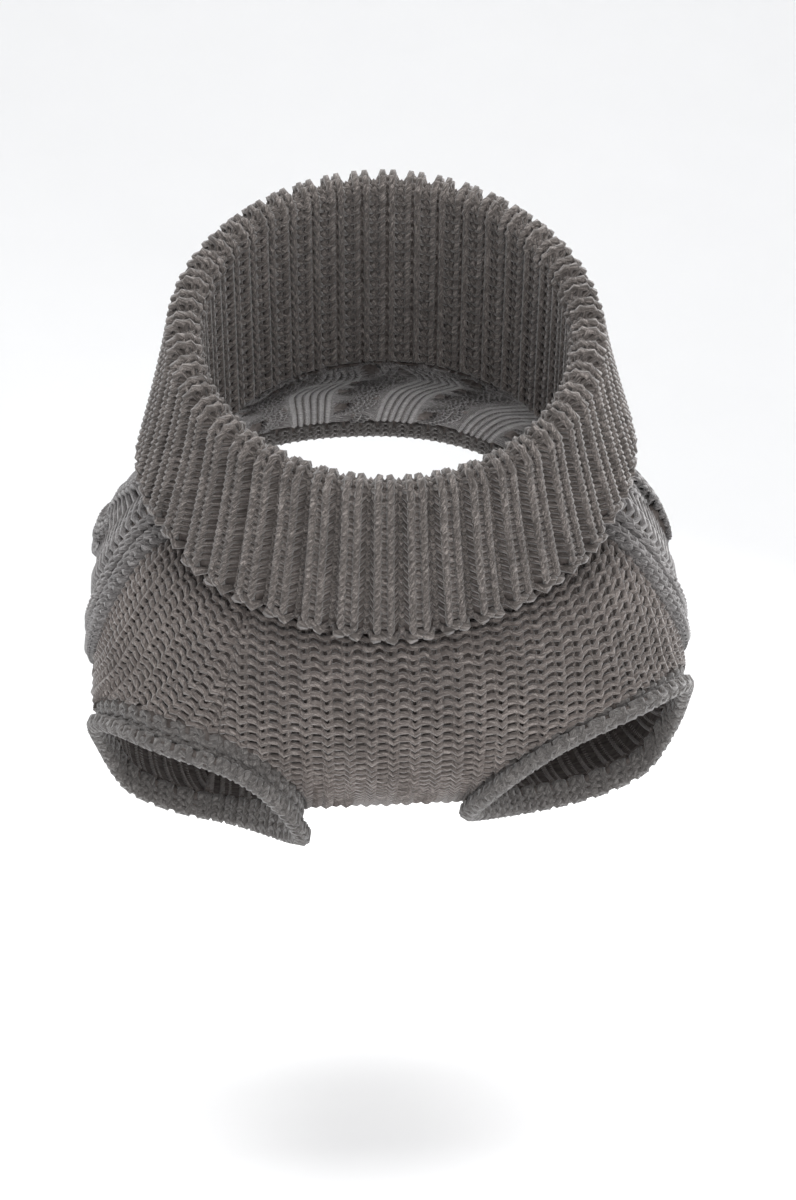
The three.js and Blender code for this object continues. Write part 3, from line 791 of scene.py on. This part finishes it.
def trim(v, share, edges, legs, wrap):
    """Places drawn in to the cut, and how deep they tuck there."""
    low, high = edges(v)
    cut = SEAM_CUT / half_girth(v)
    share = np.clip(share, low + cut, high - cut)
    v = np.clip(v, END_CLEAR, HEM - END_CLEAR)
    near = np.minimum(share - low, high - share) * half_girth(v)
    for leg in legs:
        wrapped = (share + 1) % 2 - 1 if wrap else share
        v, moved = clear_of_leg(v, wrapped, leg)
        share = np.where(moved != wrapped, moved + (share - wrapped), share)
    return v, share, TUCK * np.exp(-(near / TUCK_WIDTH) ** 2)


EVEN_FROM = LEG_FRONT    # the section from which courses are counted, both ways
print("chest line", round(length_table(1.0)[-1]), "mm; flank line", round(length_table(0.3)[-1]), "mm")

# %% Knit the chest panel
CHEST_LEGS = [LEGS["right"], LEGS["left"]]
chest_shares = np.linspace(0.54, 1.24, 15)
chest_rows = even_table(chest_shares, EVEN_FROM)
chest_edges = lambda v: (column("right", v), 2 - chest_seam(v))
CHEST_WALES = (-20, 12)
FLANK_COURSES = 6        # more of them, which the rise brings in at the hem
CHEST_COURSES = (
    math.floor(chest_rows[:, 0].min() / COURSE), math.ceil(chest_rows[:, -1].max() / COURSE) + FLANK_COURSES)
FLANK_FROM = 40.0        # from the chest's middle, where the courses start to rise over the right flank
FLANK_LENGTH = 90.0
FLANK_RISE = 0.2         # their slope after that length


def chest_place(x, y):
    past = np.maximum(0, -x - FLANK_FROM)
    down = y + CHEST_COURSES[0] * COURSE - FLANK_RISE * past ** 2 / (2 * FLANK_LENGTH)
    v = section_at(down, 1 + x / half_girth(EVEN_FROM), chest_shares, chest_rows)
    v = section_at(down, 1 + x / half_girth(v), chest_shares, chest_rows)
    return v, 1 + x / half_girth(v)


def chest_surface(x, y, z, trimmed=True):
    v, share = chest_place(x, y)
    tuck = 0.0
    if trimmed:
        v, share, tuck = trim(v, share, chest_edges, CHEST_LEGS, True)
    return on_body(v, share, MIDDLE + z - tuck)


def chest_keeps(x, y):
    v, share = chest_place(x, y)
    low, high = chest_edges(v)
    margin = PAST_SEAM / half_girth(v)
    inside = (share > low - margin) & (share < high + margin) & (v > 0) & (v < HEM)
    for leg in CHEST_LEGS:
        inside &= leg_place(v, (share + 1) % 2 - 1, leg)[0] > PAST_LEG
    return inside


wales = [(k * WALE, (k + 1) * WALE, PURL) for k in range(*CHEST_WALES)]
chest_knit, middles = draw_courses("chest_knit", wales, PURL_GAUGE, CHEST_COURSES[1] - CHEST_COURSES[0])
chest_knit = lay_courses(chest_knit, middles, chest_surface, chest_keeps, chest_wool)

# %% Lay the chest panel's cloth
ROWS_FORE, ROWS_BESIDE, ROWS_HIND = 15, 24, 31    # of the grid, by the leg openings


def panel_rows():
    """Section numbers of the cloth's rows, which crowd towards the ends of the leg openings."""
    around = 0.5 - 0.5 * np.cos(np.linspace(0, np.pi, ROWS_BESIDE + 1))
    return np.concatenate([
        np.linspace(0, LEG_FRONT, ROWS_FORE + 1)[:-1],
        LEG_FRONT + around[:-1] * (LEG_BACK - LEG_FRONT),
        np.linspace(LEG_BACK, HEM, ROWS_HIND + 1)])


cloth_rows = panel_rows()


def lay_strip(name, columns, edges, height):
    def place(across, along):
        v = np.interp(along * (len(cloth_rows) - 1), np.arange(len(cloth_rows)), cloth_rows)
        low, high = edges(v)
        share = mix(low, high, across)
        return on_body(v, share, MIDDLE + height(v, share))
    return lay_grid(name, columns, len(cloth_rows) - 1, place)


def flat_height(v, share):
    return np.full_like(v, CLOTH_BEHIND)


def cut_back(v, millimetres=0.3):
    return millimetres / half_girth(v)


outer_right = lambda v: chest_seam(v) - LEGS["right"]["outer"] * leg_reach(v)
inner_right = lambda v: chest_seam(v) + LEGS["right"]["inner"] * leg_reach(v)
inner_left = lambda v: 2 - chest_seam(v) - LEGS["left"]["inner"] * leg_reach(v)
outer_left = lambda v: -chest_seam(v) + LEGS["left"]["outer"] * leg_reach(v)
flank_strip = lay_strip(
    "flank strip", 16, lambda v: (column("right", v) + cut_back(v), outer_right(v)), flat_height)
chest_cloth = lay_strip(
    "chest_cloth", 36, lambda v: (inner_right(v), inner_left(v) - cut_back(v)), flat_height)
flank_strip.select_set(True)
bpy.ops.object.join()
chest_cloth = finish_cloth(bpy.context.object, closed=True)

# %% Knit the side panel
SIDE_SLANT = math.radians(-12)
SIDE_LEGS = [LEGS["left"]]
SIDE_MIDDLE = -0.67
side_shares = np.linspace(-0.82, -0.5, 9)
side_rows = even_table(side_shares, EVEN_FROM)
side_edges = lambda v: (-chest_seam(v), -column("left", v))
SIDE_WALES = (-11, 11)
SLANT_COURSES = 5        # more of them at each end, which the slant brings in
SIDE_COURSES = (
    math.floor(side_rows[:, 0].min() / COURSE) - SLANT_COURSES,
    math.ceil(side_rows[:, -1].max() / COURSE) + SLANT_COURSES)


def side_place(x, y):
    y = y + SIDE_COURSES[0] * COURSE
    turned_x = x * math.cos(SIDE_SLANT) - y * math.sin(SIDE_SLANT)
    down = y * math.cos(SIDE_SLANT) + x * math.sin(SIDE_SLANT)
    v = section_at(down, SIDE_MIDDLE + turned_x / half_girth(EVEN_FROM), side_shares, side_rows)
    v = section_at(down, SIDE_MIDDLE + turned_x / half_girth(v), side_shares, side_rows)
    return v, SIDE_MIDDLE + turned_x / half_girth(v)


def side_surface(x, y, z, trimmed=True):
    v, share = side_place(x, y)
    tuck = 0.0
    if trimmed:
        v, share, tuck = trim(v, share, side_edges, SIDE_LEGS, False)
    return on_body(v, share, MIDDLE + z - tuck)


def side_keeps(x, y):
    v, share = side_place(x, y)
    low, high = side_edges(v)
    margin = PAST_SEAM / half_girth(v)
    inside = (share > low - margin) & (share < high + margin) & (v > 0) & (v < HEM)
    return inside & (leg_place(v, share, LEGS["left"])[0] > PAST_LEG)


wales = [(k * WALE, (k + 1) * WALE, PURL) for k in range(*SIDE_WALES)]
side_knit, middles = draw_courses("side_knit", wales, PURL_GAUGE, SIDE_COURSES[1] - SIDE_COURSES[0])
side_knit = lay_courses(side_knit, middles, side_surface, side_keeps, chest_wool)

# %% Lay the side panel's cloth


def side_cloth_edges(v):
    """The cloth stops short of its seams, but not of the leg opening."""
    return outer_left(v) + cut_back(v) * (leg_reach(v) == 0), -column("left", v) - cut_back(v)


side_cloth = finish_cloth(lay_strip("side_cloth", 16, side_cloth_edges, flat_height))

# %% [markdown]
# ## Back panel
#
# The back is a purl ground with ropes of cable: two strands of two plain wales that twist round each
# other, one rising as the other sinks. A border of two raised ribs runs down each long edge. The
# wales are set out across the widest section, and the cable strands move sideways and up and down as
# the courses go by.

# %% Set out the back's wales
CABLE_WIDTH = 22.0
CABLE_SPACING = 42.0
CABLES_EACH_SIDE = 3
CABLE_PITCH = 34.0
CABLE_BASE, CABLE_LIFT = 1.2, 1.6
CROSSING_SQUEEZE = 0.25  # how much narrower a strand is where it crosses the other
BACK_GAUGE = gauge(course=3.6, radius=1.32, rings=7, spread=0.03, tilt=0.35)
BORDER_RIB = 9.0
BORDER_HEIGHT, BORDER_EDGE = 2.8, 1.4
PLAIN_SHARE = 0.62       # of a border rib's width, plain; the rest is purl between ribs

back_half = lambda v: (column("right", v) + column("left", v)) / 2
back_middle = lambda v: (column("right", v) - column("left", v)) / 2
back_edge = float(back_half(WIDEST) * half_girth(WIDEST))
back_lengths = length_table(0.3)
BACK_FROM = 3.0          # the section from which the back's courses are counted
cable_middles = [k * CABLE_SPACING for k in range(-CABLES_EACH_SIDE, CABLES_EACH_SIDE + 1)]


def even_wales(start, end, count, side):
    edges = np.linspace(start, end, count + 1)
    return [(a, b, side) for a, b in zip(edges[:-1], edges[1:])]


def back_wales():
    """Half the panel's wales from the spine out, mirrored to the other half."""
    wales = even_wales(0, CABLE_WIDTH / 2, 2, PLAIN)
    last = CABLE_WIDTH / 2
    for middle in cable_middles[CABLES_EACH_SIDE + 1:]:
        wales += even_wales(last, middle - CABLE_WIDTH / 2, 3, PURL)
        wales += even_wales(middle - CABLE_WIDTH / 2, middle + CABLE_WIDTH / 2, 4, PLAIN)
        last = middle + CABLE_WIDTH / 2
    for rib in (1, 0):
        crest = back_edge - (rib + 0.5) * BORDER_RIB
        wales.append((last, crest - PLAIN_SHARE * BORDER_RIB / 2, PURL))
        last = crest + PLAIN_SHARE * BORDER_RIB / 2
        wales.append((crest - PLAIN_SHARE * BORDER_RIB / 2, last, PLAIN))
    wales.append((last, back_edge, PURL))
    return [(-b, -a, side) for a, b, side in reversed(wales)] + wales


back_plan = back_wales()
print("back panel:", len(back_plan), "wales across", round(2 * back_edge), "mm")

# %% Knit the back panel


def border_height(x):
    from_edge = back_edge - np.abs(x)
    wave = np.sin(np.pi * from_edge / BORDER_RIB) ** 2
    outer = mix(BORDER_EDGE, BORDER_HEIGHT, wave)
    inner = BORDER_HEIGHT * wave
    return np.where(from_edge < BORDER_RIB / 2, outer, np.where(from_edge < 2 * BORDER_RIB, inner, 0))


def cable_shift(x, y):
    """How far the cables move the yarn sideways, and up."""
    sideways, raised = np.zeros_like(x), np.zeros_like(x)
    for k, middle in enumerate(cable_middles):
        offset = x - middle
        strand = np.where(offset < 0, -1, 1)
        phase = np.pi * (y + (k % 2) * CABLE_PITCH / 2) / CABLE_PITCH
        inside = np.abs(offset) < CABLE_WIDTH / 2
        quarter = CABLE_WIDTH / 4
        crossing = np.cos(phase) ** 2
        squeezed = (offset - strand * quarter) * (1 - CROSSING_SQUEEZE * crossing)
        moved = middle + strand * quarter * np.sin(phase) + squeezed
        sideways = np.where(inside, moved - x, sideways)
        raised = np.where(inside, CABLE_BASE + strand * CABLE_LIFT * np.cos(phase), raised)
    return sideways, raised


back_shares = np.linspace(-0.64, 0.64, 17)
back_rows = even_table(back_shares, BACK_FROM)
BACK_COURSES = (
    math.floor(back_rows[:, 0].min() / BACK_GAUGE["course"]),
    math.ceil(back_rows[:, -1].max() / BACK_GAUGE["course"]))


def back_share(x, v):
    return back_middle(v) + x / back_edge * back_half(v)


def back_place(x, y):
    v = section_at(y, back_share(x, BACK_FROM), back_shares, back_rows)
    v = section_at(y, back_share(x, v), back_shares, back_rows)
    return v, back_share(x, v)


def back_surface(first_course):
    def surface(x, y, z, trimmed=True):
        y = y + first_course * BACK_GAUGE["course"]
        v, _ = back_place(x, y)
        sideways, raised = cable_shift(x, np.interp(v, table_v, back_lengths))
        v, share = back_place(x + sideways, y)
        height = MIDDLE + z + raised + border_height(x)
        if trimmed:
            v = np.clip(v, END_CLEAR, HEM - END_CLEAR)
        return on_body(v, share, height)
    return surface


def back_keeps(first_course):
    def keeps(x, y):
        v, _ = back_place(x, y + first_course * BACK_GAUGE["course"])
        return (v > 0) & (v < HEM)
    return keeps


BACK_SPLIT = sum(BACK_COURSES) // 2
back_knits = []
for name, first, last in (
        ("back_knit_fore", BACK_COURSES[0], BACK_SPLIT), ("back_knit_hind", BACK_SPLIT, BACK_COURSES[1])):
    yarn, middles = draw_courses(name, back_plan, BACK_GAUGE, last - first)
    back_knits.append(lay_courses(yarn, middles, back_surface(first), back_keeps(first), back_wool))

# %% Lay the back panel's cloth
BACK_CLOTH_BEHIND = -0.35
CABLE_FOLLOW, BORDER_FOLLOW = 0.9, 0.8    # how closely the cloth follows their heights


def back_cloth_height(v, share):
    x = (share - back_middle(v)) / back_half(v) * back_edge
    y = np.interp(v, table_v, back_lengths)
    quarter = CABLE_WIDTH / 4
    lowest = np.full_like(x, np.inf)
    for k, middle in enumerate(cable_middles):
        phase = np.pi * (y + (k % 2) * CABLE_PITCH / 2) / CABLE_PITCH
        for strand in (-1, 1):
            beside = np.abs(x - middle - strand * quarter * np.sin(phase))
            here = beside < quarter * (1 - CROSSING_SQUEEZE * np.cos(phase) ** 2)
            height = CABLE_BASE + strand * CABLE_LIFT * np.cos(phase)
            lowest = np.where(here, np.minimum(lowest, height), lowest)
    under_cables = np.where(np.isinf(lowest), 0, CABLE_FOLLOW * lowest)
    return BACK_CLOTH_BEHIND + under_cables + BORDER_FOLLOW * border_height(x)


back_cloth = finish_cloth(lay_strip(
    "back_cloth", 128, lambda v: (-column("left", v) + cut_back(v), column("right", v) - cut_back(v)),
    back_cloth_height))

# %% [markdown]
# ## Collar
#
# The collar is a wide tube of one-by-one rib, 44 plain wales with 44 purl wales between them. It
# stands up from the neck seam, folds over at the top and hangs down outside as a deep cuff that
# spreads over the shoulders. The courses follow the middle of that profile all the way: up the
# stand, over the fold and down the cuff, where a chain of cast-off loops ends them.

# %% Set out the collar
COLLAR_WALL = 4.6
RIBS = 44
STAND_TOP, STAND_BOTTOM = 77.0, 54.0
LAYER_GAP = 1.2
FLARE_TOP, FLARE_SIDE, FLARE_BOTTOM = 15.0, 23.0, 21.5
FLARE_POWER = 1.15
CUFF_CLEARANCE = 0.8
CUFF_LIFT_LEFT, CUFF_LIFT_RIGHT = 7.0, 11.0
BORDER_ANGLE = 2.1
CABLE_HEIGHT = 3.4

neck_up = -plane_normal(np.array(0.0))
fold_radius = COLLAR_WALL + LAYER_GAP / 2
middle_radius = fold_radius - COLLAR_WALL / 2


def neck_out(angle):
    step = 0.01
    zero = np.zeros_like(angle)
    tangent = unit(by_angle(zero, angle + step) - by_angle(zero, angle - step))
    return unit(np.cross(np.broadcast_to(neck_up, tangent.shape), tangent))


def collar_point(angle, out, up):
    return by_angle(np.zeros_like(angle), angle) + neck_out(angle) * out[..., None] + neck_up * up[..., None]


def flare(angle):
    return mix(np.where(np.cos(angle) > 0, FLARE_TOP, FLARE_BOTTOM), FLARE_SIDE, np.sin(angle) ** 2)


def body_under(angle):
    """The height of the body's outside above the neck seam's plane, under the cuff's free edge."""
    wanted = collar_point(np.array(angle), np.array(flare(angle) - COLLAR_WALL / 2), np.array(0.0))
    sections, turns = np.arange(0, 3.05, 0.1), np.arange(-0.2, 0.21, 0.02)
    v, turn = np.meshgrid(sections, turns, indexing="ij")
    share = angle / np.pi + turn
    away = body_point(v, share) + wall_way(v, share) * WALL - wanted
    rise = dot(away, neck_up)[..., 0]
    beside = np.linalg.norm(away - rise[..., None] * neck_up, axis=-1)
    return rise[beside < COLLAR_WALL + 1].max()


rest_angles = np.linspace(0, np.pi, 37)
rest_heights = np.array([
    body_under(a) + (CABLE_HEIGHT if a < BORDER_ANGLE else 0) + CUFF_CLEARANCE
    for a in rest_angles])


def fold_height(angle):
    return mix(STAND_BOTTOM, STAND_TOP, (1 + np.cos(angle)) / 2) - fold_radius


def cuff_out(angle, drop):
    return mix(2 * fold_radius, flare(angle), np.maximum(drop, 0) ** FLARE_POWER)


def cuff_up(angle, drop):
    end = np.interp(np.abs(np.arctan2(np.sin(angle), np.cos(angle))), rest_angles, rest_heights)
    end = end + np.where(np.sin(angle) < 0, CUFF_LIFT_LEFT, CUFF_LIFT_RIGHT) * np.abs(np.sin(angle))
    return mix(fold_height(angle), end + COLLAR_WALL / 2, drop)


print("cuff's edge above the neck seam:", [round(h) for h in rest_heights[::6]], "mm")

# %% Knit the collar
RIB_REPEAT = 10.0        # nominal; the real one follows the neck
RIB_COURSE = 3.1
STAND_GAUGE = gauge(course=RIB_COURSE, radius=1.25, rings=6, spread=0.08)
CUFF_GAUGE = gauge(course=RIB_COURSE, radius=1.4, depth=1.0, height=0.8, spread=0.12)
CAST_OFF_GAUGE = gauge(course=RIB_COURSE, radius=1.7, rings=8, depth=0.9, height=0.3, spread=0.05)
PLAIN_IN_REPEAT = 0.74
STAND_COURSES, FOLD_COURSES, CUFF_COURSES = 18, 4.5, 18.5
RIB_STANDS = 4.4         # from the purl wales to the plain ones, on the cuff
STAND_STANDS = 0.8       # the same on the stand, which is pressed flatter
CREST_HALF, CREST_SLOPE = 0.22, 0.18    # in repeats, the plain wale's level top and the slope beside it
VALLEY_SHARE = 0.42      # of the ribs' height that lies inside the middle of the cloth
CLOTH_UNDER = -0.6       # the collar's shaded cloth, from the middle of its stitches
END_COURSES = 0.3        # courses left free at the neck seam, and at the end of the cloth
LAST_COURSE = 41
CAST_OFF_AFTER = 0.15    # courses from the last one to the chain


def collar_middle(angle, course):
    """A point of the middle of the collar's cloth, by angle and course."""
    stand = np.minimum(course / STAND_COURSES, 1)
    turn = np.pi * np.clip((course - STAND_COURSES) / FOLD_COURSES, 0, 1)
    drop = (course - STAND_COURSES - FOLD_COURSES) / CUFF_COURSES
    top = fold_height(angle)
    stand_out = fold_radius - middle_radius * np.cos(turn)
    out = np.where(drop > 0, cuff_out(angle, drop) - COLLAR_WALL / 2, stand_out)
    stand_up = np.where(stand < 1, mix(SEAM_GAP, top, stand), top + middle_radius * np.sin(turn))
    up = np.where(drop > 0, cuff_up(angle, drop), stand_up)
    return collar_point(angle, out, up)


def collar_surface(first_course):
    def plain_point(x, y):
        return collar_middle(x / (RIBS * RIB_REPEAT) * 2 * np.pi, y / RIB_COURSE)

    def surface(x, y, z, trimmed=True):
        y = np.maximum(y + first_course * RIB_COURSE, END_COURSES * RIB_COURSE)
        middle = plain_point(x, y)
        across = plain_point(x + 0.5, y) - plain_point(x - 0.5, y)
        along = plain_point(x, y + 0.5) - plain_point(x, y - 0.5)
        out = unit(np.cross(across, along))
        from_crest = np.abs((x / RIB_REPEAT) % 1 - 0.5)
        rib = 1 - smooth((from_crest - CREST_HALF) / CREST_SLOPE)
        stands = mix(STAND_STANDS, RIB_STANDS, smooth((y / RIB_COURSE - STAND_COURSES) / FOLD_COURSES))
        return middle + out * (z + (rib - VALLEY_SHARE) * stands)[..., None]
    return surface


def collar_wales():
    wales = []
    for k in range(RIBS):
        start = k * RIB_REPEAT
        half = PLAIN_IN_REPEAT * RIB_REPEAT / 2
        crest = start + RIB_REPEAT / 2
        next_plain = crest + RIB_REPEAT - half
        wales += [(crest - half, crest + half, PLAIN), (crest + half, next_plain, PURL)]
    return wales


everywhere = lambda x, y: np.ones(x.shape, bool)
collar_knits = []
for name, g, first, last in (
        ("stand_knit", STAND_GAUGE, 0, STAND_COURSES), ("cuff_knit", CUFF_GAUGE, STAND_COURSES, LAST_COURSE)):
    yarn, middles = draw_courses(name, collar_wales(), g, last - first)
    collar_knits.append(lay_courses(yarn, middles, collar_surface(first), everywhere, rib_wool))

# %% Cast off the cuff's free edge
chain = [(k * RIB_REPEAT / 2, (k + 1) * RIB_REPEAT / 2, PURL) for k in range(2 * RIBS)]
yarn, middles = draw_courses("cast_off", chain, CAST_OFF_GAUGE, 1)
end_surface = collar_surface(LAST_COURSE + CAST_OFF_AFTER)
collar_knits.append(lay_courses(yarn, middles, end_surface, everywhere, rib_wool))

# %% Lay the collar's cloth


def collar_cloth_place(across, along):
    x = across * RIBS * RIB_REPEAT
    last = STAND_COURSES + FOLD_COURSES + CUFF_COURSES - END_COURSES
    y = mix(END_COURSES, last, along) * RIB_COURSE
    return collar_surface(0)(x, y, np.full_like(x, CLOTH_UNDER))


collar_cloth = finish_cloth(lay_grid("collar_cloth", 4 * RIBS, 36, collar_cloth_place), closed=True)

# %% [markdown]
# ## Rolled edges
#
# Stocking stitch curls outwards at a free edge. Each leg opening and the hem ends in a few courses
# that turn along the leg, or on past the body, and curl into a roll, plain side out. The courses run
# round the opening, and their rows follow the profile of the roll.

# %% Shape the rolls
EDGE_BEND = 1.8          # along the wall before it turns
HEM_DEPTH = 5.5          # from there to the roll
ROLL_OUT = 1.4           # how far the roll stands outside the wall
ROLL_MIDDLE = 1.9        # radius of the roll at the middle of its cloth
ROLL_TURN = math.radians(265)
EDGE_COURSES = 7         # in the whole depth of a rolled edge
EDGE_STARTS = 1.25       # courses from the seam to the first course drawn
EDGE_GAUGE = gauge(course=3.2, radius=1.5, rings=7, depth=0.3, height=0.72, spread=0.12)
EDGE_DOWN = EDGE_COURSES * EDGE_GAUGE["course"]
LEG_WALES = 42
HEM_WALES = 74
LEG_WAY = (0.13, 0.03, -0.99)    # the way the right leg points; the left is its mirror image
EDGE_LEAST = -0.3        # millimetres, how far behind the seam an edge may start
EDGE_CLOTH = (-0.012, 0.97)      # parts of the way where its cloth starts and ends


def roll_profile(edge, wall, on, along, out, depth, part):
    """A point of a rolled edge's middle, by the part of the way from the seam to the roll's end."""
    start = edge + on * SEAM_GAP + wall * WALL / 2
    bend = start + on * EDGE_BEND
    roll = bend + along * depth + out * ROLL_OUT
    way = part[..., None] * (EDGE_BEND + depth + ROLL_MIDDLE * ROLL_TURN)
    first = start + on * way
    second = bend + (roll - out * ROLL_MIDDLE - bend) * np.clip((way - EDGE_BEND) / depth, 0, 1)
    turn = (way - EDGE_BEND - depth) / ROLL_MIDDLE
    third = roll - out * ROLL_MIDDLE * np.cos(turn) + along * ROLL_MIDDLE * np.sin(turn)
    return np.where(way < EDGE_BEND, first, np.where(turn < 0, second, third))


def leg_rail(leg, turn):
    """The edge of a leg opening at an angle round it, from its front over the outside."""
    middle, reach = (LEG_FRONT + LEG_BACK) / 2, (LEG_BACK - LEG_FRONT) / 2

    def place(a):
        v = middle - reach * np.cos(a)
        width = np.where(np.sin(a) > 0, -leg["outer"], leg["inner"])
        return v, leg["side"] * (chest_seam(v) + width * np.abs(np.sin(a)))

    along = np.array(LEG_WAY) * [leg["side"], 1, 1]
    along = along / np.linalg.norm(along)
    centre = body_point(np.array(middle), np.array(leg["side"] * chest_seam(middle)))
    v, share = place(turn)
    edge = body_point(v, share)
    wall = body_normal(v, share)
    edge = edge + wall * crease(v, share)[..., None]
    step = 0.087
    tangent = unit(body_point(*place(turn + step)) - body_point(*place(turn - step)))
    on = unit(np.cross(tangent, wall))
    on = on * np.sign(dot(on, centre - edge))
    away = edge - centre
    out = unit(away - along * dot(away, along))
    front = np.maximum(0, np.cos(turn))
    inner = np.maximum(0, -np.sin(turn)) ** 2
    depth = mix(mix(leg["depth"], leg["front_depth"], front), leg["inner_depth"], inner)
    return edge, wall, on, along, out, depth[..., None]


def leg_surface(leg):
    def plain_point(x, y):
        turn = -leg["side"] * 2 * np.pi * x / (LEG_WALES * WALE)
        return roll_profile(*leg_rail(leg, turn), y / EDGE_DOWN)
    return plain_point


def hem_point(x, y):
    share = 2 * x / (HEM_WALES * WALE)
    v = np.full_like(x, float(HEM))
    wall = wall_in_plane(v, share)
    on = plane_normal(v)
    edge = body_point(v, share) + unit(wall) * crease(v, share)[..., None]
    return roll_profile(edge, wall, on, on, unit(wall), np.full(x.shape + (1,), HEM_DEPTH), y / EDGE_DOWN)


def raised_surface(plain_point):
    def surface(x, y, z, trimmed=True):
        y = np.clip(y, EDGE_LEAST, EDGE_DOWN)
        middle = plain_point(x, y)
        if not np.any(z):
            return middle
        across = plain_point(x + 0.5, y) - plain_point(x - 0.5, y)
        along = plain_point(x, y + 0.3) - plain_point(x, y - 0.3)
        return middle + unit(np.cross(across, along)) * z[..., None]
    return surface


# %% Knit the rolled edges


def make_edge(name, wale_count, surface):
    """The yarn and the cloth of one rolled edge."""
    wales = [(k * WALE, (k + 1) * WALE, PURL) for k in range(wale_count)]
    yarn, middles = draw_courses(name + "_knit", wales, EDGE_GAUGE, EDGE_COURSES - 1)
    start = EDGE_STARTS * EDGE_GAUGE["course"]
    middles = middles + [0, start, 0]
    move_points(yarn, read_points(yarn) + [0, start * MM, 0])
    yarn = lay_courses(yarn, middles, surface, everywhere, edge_wool)
    place = lambda across, along: surface(
        across * wale_count * WALE, mix(*EDGE_CLOTH, along) * EDGE_DOWN, np.zeros_like(across))
    return yarn, finish_cloth(lay_grid(name + "_cloth", 4 * wale_count, 16, place), closed=True)


edge_pieces = {
    "leg_edge_left": make_edge("leg_left", LEG_WALES, raised_surface(leg_surface(LEGS["left"]))),
    "leg_edge_right": make_edge("leg_right", LEG_WALES, raised_surface(leg_surface(LEGS["right"]))),
    "hem_edge": make_edge("hem", HEM_WALES, raised_surface(hem_point)),
}

# %% [markdown]
# ## Hand over
#
# Every piece rides on the one body. Each panel's cloth replaces its CAD node, and the yarn goes with it.

bpy.data.objects.remove(yarn_section)
# Node, cloth, yarn, slot, flat size and area of the cut in metres, how it is held, what it rests on.
PANELS = [
    ("collar", collar_cloth, collar_knits, "rib_knit", (0.46, 0.13), None, "folded", "back_panel"),
    ("back_panel", back_cloth, back_knits, "cable_knit", (0.31, 0.24), 0.07, "stretched", "side_left"),
    ("side_left", side_cloth, [side_knit], "purl_knit", (0.1, 0.26), 0.0125, "stretched", "back_panel"),
    ("chest_panel", chest_cloth, [chest_knit], "purl_knit", (0.19, 0.28), 0.039, "stretched", "back_panel"),
    ("leg_edge_left", edge_pieces["leg_edge_left"][1], [edge_pieces["leg_edge_left"][0]], "rolled_edge",
     (0.29, 0.02), None, "gathered", "chest_panel"),
    ("leg_edge_right", edge_pieces["leg_edge_right"][1], [edge_pieces["leg_edge_right"][0]], "rolled_edge",
     (0.29, 0.018), None, "gathered", "chest_panel"),
    ("hem_edge", edge_pieces["hem_edge"][1], [edge_pieces["hem_edge"][0]], "rolled_edge",
     (0.52, 0.018), None, "gathered", "back_panel"),
]
total = 0
for node, cloth, knits, slot, flat, area, held, rests_on in PANELS:
    for piece in [cloth, *knits]:
        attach(piece, "root")
        total += sum(len(p.vertices) - 2 for p in piece.data.polygons)
    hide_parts(node)
print("triangles in all:", total)
